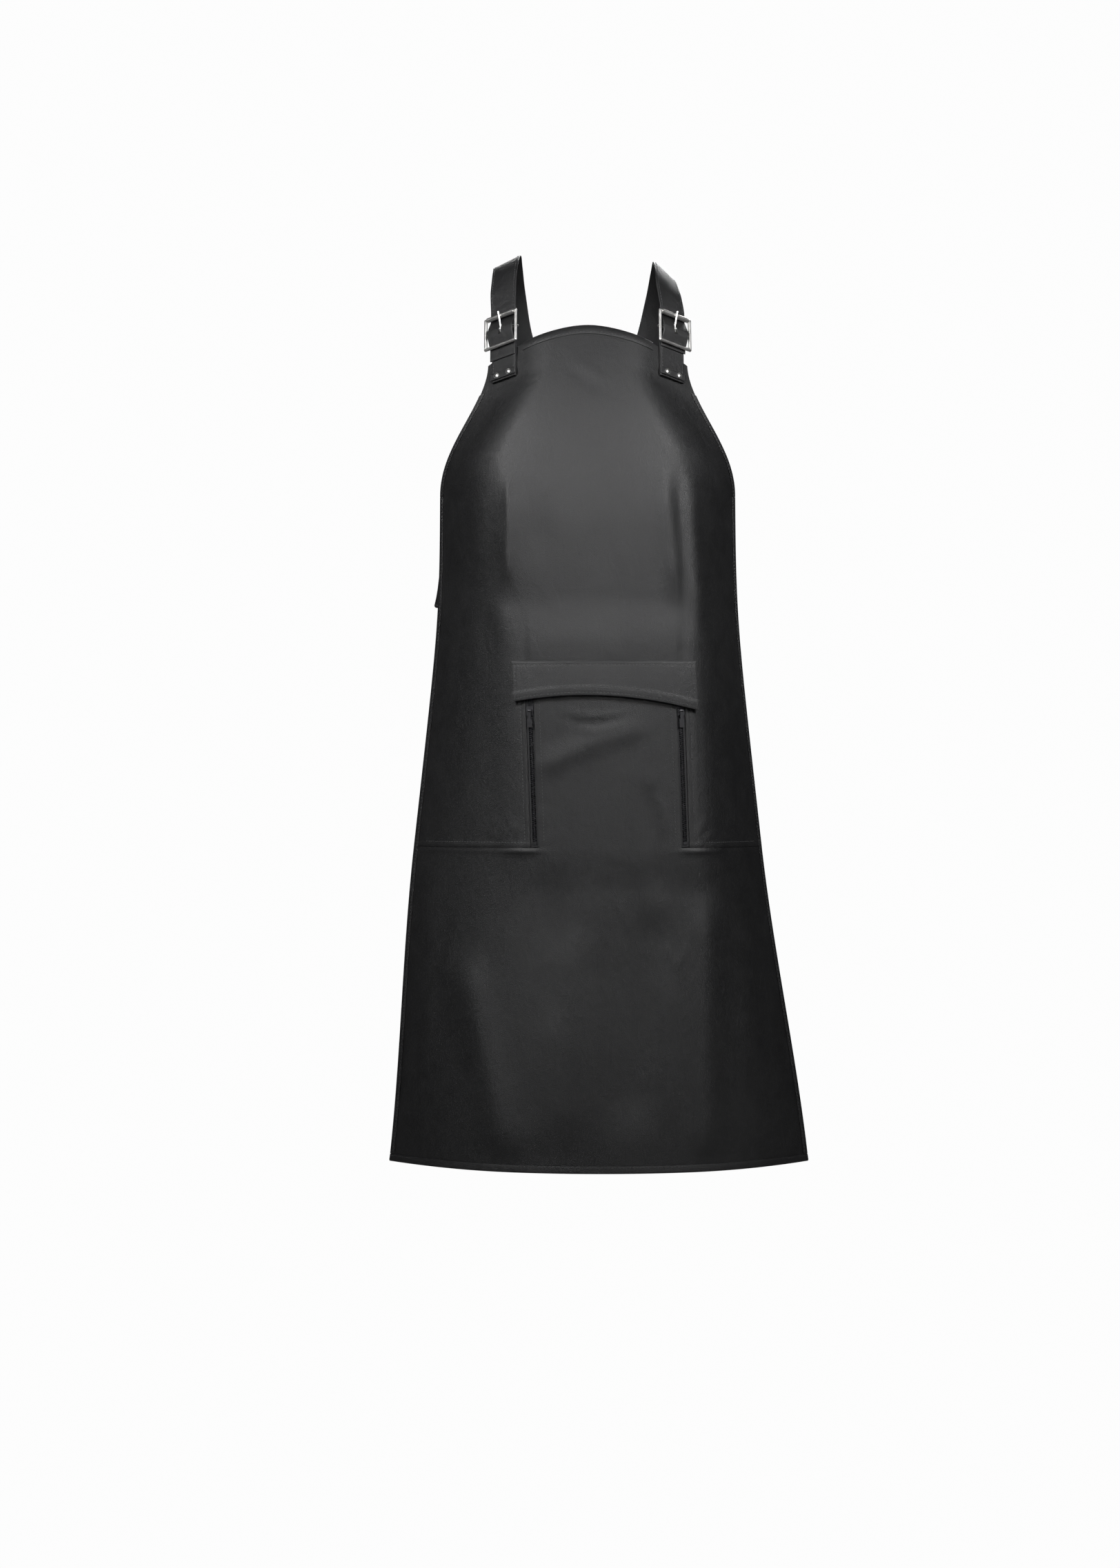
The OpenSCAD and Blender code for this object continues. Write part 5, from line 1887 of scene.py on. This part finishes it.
    def build(self, finishes: Finishes) -> None:
        """Builds the strap and its stitches.

        Args:
            finishes: The finishes.
        """
        e, side = self.end, self.route.side
        points, outs, heights = self.line()
        half, slot = e.strap_w / 2.0, e.prong_r + 0.95
        across = e.stations_across(half, slot, False)
        behind = np.concatenate([points[:1], points[:-1]])
        ahead = np.concatenate([points[1:], points[-1:]])
        tangent = unit(ahead - behind)
        wide = unit(np.cross(tangent, outs))
        thick = unit(np.cross(wide, tangent))
        ends = np.minimum(np.arange(len(points)), np.arange(len(points))[::-1])
        taper = np.where(ends == 0, 0.45, 1.0)
        lift = e.strap_t / 2.0 * rounded_edge(across, half, 0.9)[None, :] * taper[:, None]
        middle = points[:, None] + wide[:, None] * across[None, :, None]
        skin, back = (middle + sign * thick[:, None] * lift[..., None] for sign in (1.0, -1.0))
        v, x = middles(heights), np.abs(middles(across))
        inside = (v > e.slot_low) & (v < e.tab_rise + self.slot_run)
        obj = shell(f"{side.word}_strap", back, skin, ~(inside[:, None] & (x < slot)[None, :]))
        finishes.fit(obj, finishes.strap, f"{side.word}_shoulder_strap")
        inset, face = half - self.stitch_inset, e.strap_t / 2.0
        free = heights > e.tab_rise + e.bar_v + self.buckle_room
        rows = [((points + wide * sign * inset + thick * face)[free], thick[free]) for sign in (1.0, -1.0)]
        reach = np.linspace(-inset, inset, 12)[:, None]
        for at in (-3, -8):
            row = points[at] + wide[at] * reach - thick[at] * face
            rows.append((row, np.repeat(-thick[at][None], len(reach), axis=0)))
        sewn(f"{side.word}_strap_stitches", rows, finishes, "apron")
        length = np.linalg.norm(np.diff(points, axis=0), axis=1).sum()
        log.info("%s strap: %d stations over %.0f mm", side.word, len(points), length)


# ---------------------------------------------------------------------------------------------
# Zips
# ---------------------------------------------------------------------------------------------


@dataclass(frozen=True)
class Zip:
    """One zip, drawn upright: x across, the front towards -y, z up from the side seam."""

    shape: WornShape
    layers: Layers
    side: Side
    tape_t: float = 0.7
    tape_gap: float = 0.35
    teeth_w: float = 2.5
    teeth_t: float = 2.5
    pitch: float = 2.5
    teeth_foot: float = 7.0
    teeth_top: float = 164.5
    tape_top: float = 184.0

    def place(self, local: Array) -> Array:
        """Leans local points along the zip and turns them to the belly's curve.

        Args:
            local: Points in millimetres.

        Returns:
            Points on the apron.
        """
        s, l = self.shape, self.layers
        lean = math.atan((s.turn_foot - s.turn_top) / (s.tongue_top_z - s.seam_z))
        yaw = self.side.value * math.atan(s.zip_u / s.body_r)
        tape_n = l.leather_n + l.pocket_lift - self.tape_t / 2.0 - self.tape_gap
        p = local - np.array([0.0, tape_n, 0.0])
        x = p[..., 0] * math.cos(yaw) - p[..., 1] * math.sin(yaw)
        y = p[..., 0] * math.sin(yaw) + p[..., 1] * math.cos(yaw)
        z = p[..., 2]
        across, up = x * math.cos(lean) - z * math.sin(lean), x * math.sin(lean) + z * math.cos(lean)
        foot = s.point(np.array(self.side.value * s.zip_u), np.array(s.seam_z), 0.0)
        return np.stack([across, y, up], axis=-1) + foot

    def tape(self, finishes: Finishes) -> bpy.types.Object:
        """Woven tape on both sides of the teeth, joined below them, with a fine cord along its inner edges.

        Args:
            finishes: The finishes.

        Returns:
            The tape.
        """
        inner, foot, join = self.teeth_w + 0.05, 1.0, self.teeth_foot - 4.0
        across = np.array([inner, inner + 0.25, inner + 0.9, inner + 1.6, 5.5, 7.5, 9.6, self.shape.tape_w])
        across = np.concatenate([-across[::-1], across])
        up = runs((foot, 1.0), (join, 4.0), (self.tape_top, 1.0))
        x, z = np.meshgrid(across, up)
        groove = 1.0 - 0.35 * gauss(np.abs(x) - 4.6, 0.7)
        half = self.tape_t / 2.0 * groove * rounded_edge(x, self.shape.tape_w, 0.3)
        front = np.stack([x, -half, z], axis=-1)
        back = np.stack([x, half, z], axis=-1)
        keep = ~((middles(up) > join)[:, None] & (np.abs(middles(across)) < inner)[None, :])
        obj = shell(f"{self.side.word}_tape", self.place(back), self.place(front), keep)
        finishes.dress(obj, finishes.tape)
        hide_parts(f"{self.side.word}_zip_tape")
        width, cut_share, length = 0.02, 0.74, (self.tape_top - foot) * MM
        cut_share * width * length
        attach(obj, "apron")
        return obj

    def teeth(self, finishes: Finishes) -> bpy.types.Object:
        """Two combs of small rounded teeth that mesh in the middle.

        Args:
            finishes: The finishes.

        Returns:
            The teeth.
        """
        w, t, tall = self.teeth_w, self.teeth_t / 2.0, self.pitch * 0.4
        reach = np.array([-0.9, -0.3, 0.5, 1.9, 2.5]) * w / 2.5
        depth = np.array([0.62, 0.92, 1.0, 1.0, 0.8]) * t
        rise = np.array([0.55, 1.0, 0.8, 0.75, 0.6]) * tall
        rings, sides = len(reach), 8
        corner = np.radians(22.5 + 45.0 * np.arange(sides))
        box = np.stack([np.cos(corner), np.sin(corner)], axis=1) / math.cos(math.radians(22.5))
        out = np.broadcast_to(reach[:, None], (rings, sides))
        ring = np.stack([out, depth[:, None] * box[:, 0], rise[:, None] * box[:, 1]], axis=-1)
        count = int((self.teeth_top - self.teeth_foot) / self.pitch)
        heights = self.teeth_foot + self.pitch * (0.25 + np.arange(count))
        z = np.concatenate([heights, heights + self.pitch / 2.0])
        flip = np.repeat([1.0, -1.0], count)
        local = ring[None] * np.stack([flip, np.ones_like(flip), np.ones_like(flip)], axis=1)[:, None, None, :]
        local = local + np.stack([np.zeros_like(z), np.zeros_like(z), z], axis=1)[:, None, None, :]
        walls, first, last = tube(rings, sides)
        right = (np.arange(count) * rings * sides)[:, None, None]
        left = right + count * rings * sides
        faces = []
        for part in (walls, np.stack([first, last])):
            faces.append((part[None] + right).reshape(-1, part.shape[1]))
            faces.append((part[None, :, ::-1] + left).reshape(-1, part.shape[1]))
        obj = mesh_object(f"{self.side.word}_teeth", self.place(local.reshape(-1, 3)), faces)
        close_up(obj, 40.0)
        return finishes.fit(obj, finishes.zip_metal, f"{self.side.word}_zip_teeth")


# ---------------------------------------------------------------------------------------------
# Picture
# ---------------------------------------------------------------------------------------------


@dataclass(frozen=True)
class Lamp:
    """A soft rectangular light: its place, what it points at, its sides, its power and its opening angle."""

    name: str
    at: tuple[float, float, float]
    to: tuple[float, float, float]
    sides: tuple[float, float]
    watts: float
    spread: float = 60.0

    def build(self) -> None:
        """Adds the light to the scene; a narrow opening angle works like a grid before the lamp."""
        data = bpy.data.lights.new(self.name, "AREA")
        data.shape = "RECTANGLE"
        data.size, data.size_y = self.sides
        data.energy = self.watts
        data.spread = math.radians(self.spread)
        obj = bpy.data.objects.new(self.name, data)
        obj.location = self.at
        direction = Vector(self.to) - Vector(self.at)
        obj.rotation_euler = direction.to_track_quat("-Z", "Y").to_euler()
        bpy.context.scene.collection.objects.link(obj)


@dataclass(frozen=True)
class Studio:
    """Camera, light and backdrop of the picture, in metres."""

    eye: tuple[float, float, float] = (-0.0476, -4.126, 0.461)
    lens: float = 77.2
    floor_z: float = -0.37
    floor_front: float = -5.5
    floor_back: float = 6.2
    bend_r: float = 0.9
    wall_top: float = 6.5
    half_width: float = 6.0
    world_strength: float = 0.03
    lamps: tuple[Lamp, ...] = (
        Lamp("key", (-0.05, -4.3, 1.85), (-0.05, -0.1, 1.22), (2.4, 0.7), 4.6, 29.0),
        Lamp("left side", (-2.1, -2.3, 2.5), (0.0, -0.05, 0.95), (1.0, 1.0), 11.0),
        Lamp("right side", (2.1, -2.3, 2.5), (0.0, -0.05, 0.95), (1.0, 1.0), 11.0),
        Lamp("back", (0.3, 3.2, 3.1), (0.0, 0.0, 0.7), (2.0, 1.0), 16.0),
    )

    def camera(self) -> None:
        """A level camera that looks along +Y; its lens fits the picture's height."""
        data = bpy.data.cameras.new("camera")
        data.sensor_width = 36.0
        data.sensor_fit = "AUTO"
        data.lens = self.lens
        data.clip_end = 100.0
        obj = bpy.data.objects.new("camera", data)
        obj.location = self.eye
        obj.rotation_euler = (math.radians(90.0), 0.0, 0.0)
        bpy.context.scene.collection.objects.link(obj)
        bpy.context.scene.camera = obj

    def backdrop(self) -> None:
        """A pale floor that runs up into a wall behind the apron, in one smooth sweep."""
        turn = np.linspace(0.0, np.pi / 2.0, 17)
        bend_y = self.floor_back + self.bend_r * np.sin(turn)
        bend_z = self.floor_z + self.bend_r - self.bend_r * np.cos(turn)
        ys = np.concatenate([[self.floor_front], bend_y, [self.floor_back + self.bend_r]])
        zs = np.concatenate([[self.floor_z], bend_z, [self.wall_top]])
        sides = (-self.half_width, self.half_width)
        points = np.stack([np.stack([np.full_like(ys, x), ys, zs], axis=-1) for x in sides], axis=1)
        index = np.arange(2 * len(ys)).reshape(-1, 2)
        quads = np.stack([index[:-1, 0], index[:-1, 1], index[1:, 1], index[1:, 0]], axis=-1)
        obj = mesh_object("backdrop", points.reshape(-1, 3) / MM, [quads])
        obj.data.materials.append(self.paper())
        obj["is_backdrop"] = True

    def paper(self) -> bpy.types.Material:
        """Paper that lights the apron as pale grey and that the camera sees as even white.

        Returns:
            The material.
        """
        g = Graph("white paper")
        path = g.add("ShaderNodeLightPath")
        seen = Wire(g, path.outputs["Is Camera Ray"])
        g.put(Base_Color=(0.3, 0.3, 0.3, 1.0), Roughness=0.9, Specular_IOR_Level=0.0)
        glow = g.add("ShaderNodeEmission")
        glow.inputs["Color"].default_value = (0.98, 0.98, 0.98, 1.0)
        choice = g.add("ShaderNodeMixShader")
        g.feed(choice.inputs[0], seen)
        output = next(n for n in g.tree.nodes if n.type == "OUTPUT_MATERIAL")
        g.tree.links.new(g.shader.outputs[0], choice.inputs[1])
        g.tree.links.new(glow.outputs[0], choice.inputs[2])
        g.tree.links.new(choice.outputs[0], output.inputs["Surface"])
        return g.material

    def build(self) -> None:
        """Sets up the picture."""
        scene = bpy.context.scene
        scene.view_settings.view_transform = "Standard"
        scene.view_settings.look = "None"
        world = bpy.data.worlds.new("room")
        world.use_nodes = True
        background = world.node_tree.nodes["Background"]
        background.inputs["Color"].default_value = (0.9, 0.92, 0.95, 1.0)
        background.inputs["Strength"].default_value = self.world_strength
        scene.world = world
        self.camera()
        for lamp in self.lamps:
            lamp.build()
        self.backdrop()


# ---------------------------------------------------------------------------------------------
# All of it
# ---------------------------------------------------------------------------------------------


def dress_hardware(frame: dict, finishes: Finishes) -> None:
    """Gives every CAD node that is shown its finish.

    Args:
        finishes: The finishes.
    """
    bright = ("rivets", "rivet_washers", "buckle_frame", "buckle_roller", "buckle_prong")
    kinds = {word: finishes.nickel for word in bright}
    kinds |= {word: finishes.zip_metal for word in ("zip_slider", "zip_pull", "zip_stops")}
    for name, obj in frame["nodes"].items():
        word = name.partition("_")[2]
        if not obj.hide_render and word in kinds:
            finishes.dress(obj, kinds[word])
            log.info("%s keeps its CAD shape", name)


def write_size(corners: Sequence[Vector]) -> None:
    """Rounds the shown object's box to plain lists.

    Args:
        corners: Lowest and highest corner after loading, and lowest and highest corner at the end.
    """
    lists = [[round(float(v), 5) for v in corner] for corner in corners]


def main(frame: dict) -> None:
    """Builds the dressed apron and its picture.
    """
    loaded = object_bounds()
    finishes = Finishes()
    apron = Apron(WornShape(), Layers(), finishes)
    band = WaistBand(apron)
    for build in (apron.bib, apron.skirt, apron.core, apron.lining, apron.bindings, apron.edge_stitches):
        build()
    for build in (apron.panel_stitches, band.build, band.stitches):
        build()
    end = StrapEnd(apron.shape, apron.layers)
    for route in (LEFT_ROUTE, RIGHT_ROUTE):
        Strap(end, route).build(finishes)
        end.tab(route.side, finishes)
        end.cross_strip(route.side, finishes)
        closure = Zip(apron.shape, apron.layers, route.side)
        closure.tape(finishes)
        closure.teeth(finishes)
    dress_hardware(frame, finishes)
    Studio().build()
    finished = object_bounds()
    write_size([*loaded, *finished])
    log.info("box %s to %s", [round(v, 3) for v in finished[0]], [round(v, 3) for v in finished[1]])


if __name__ == "__main__":
    logging.basicConfig(level=logging.INFO, format="%(name)s: %(message)s")
    main(frame)
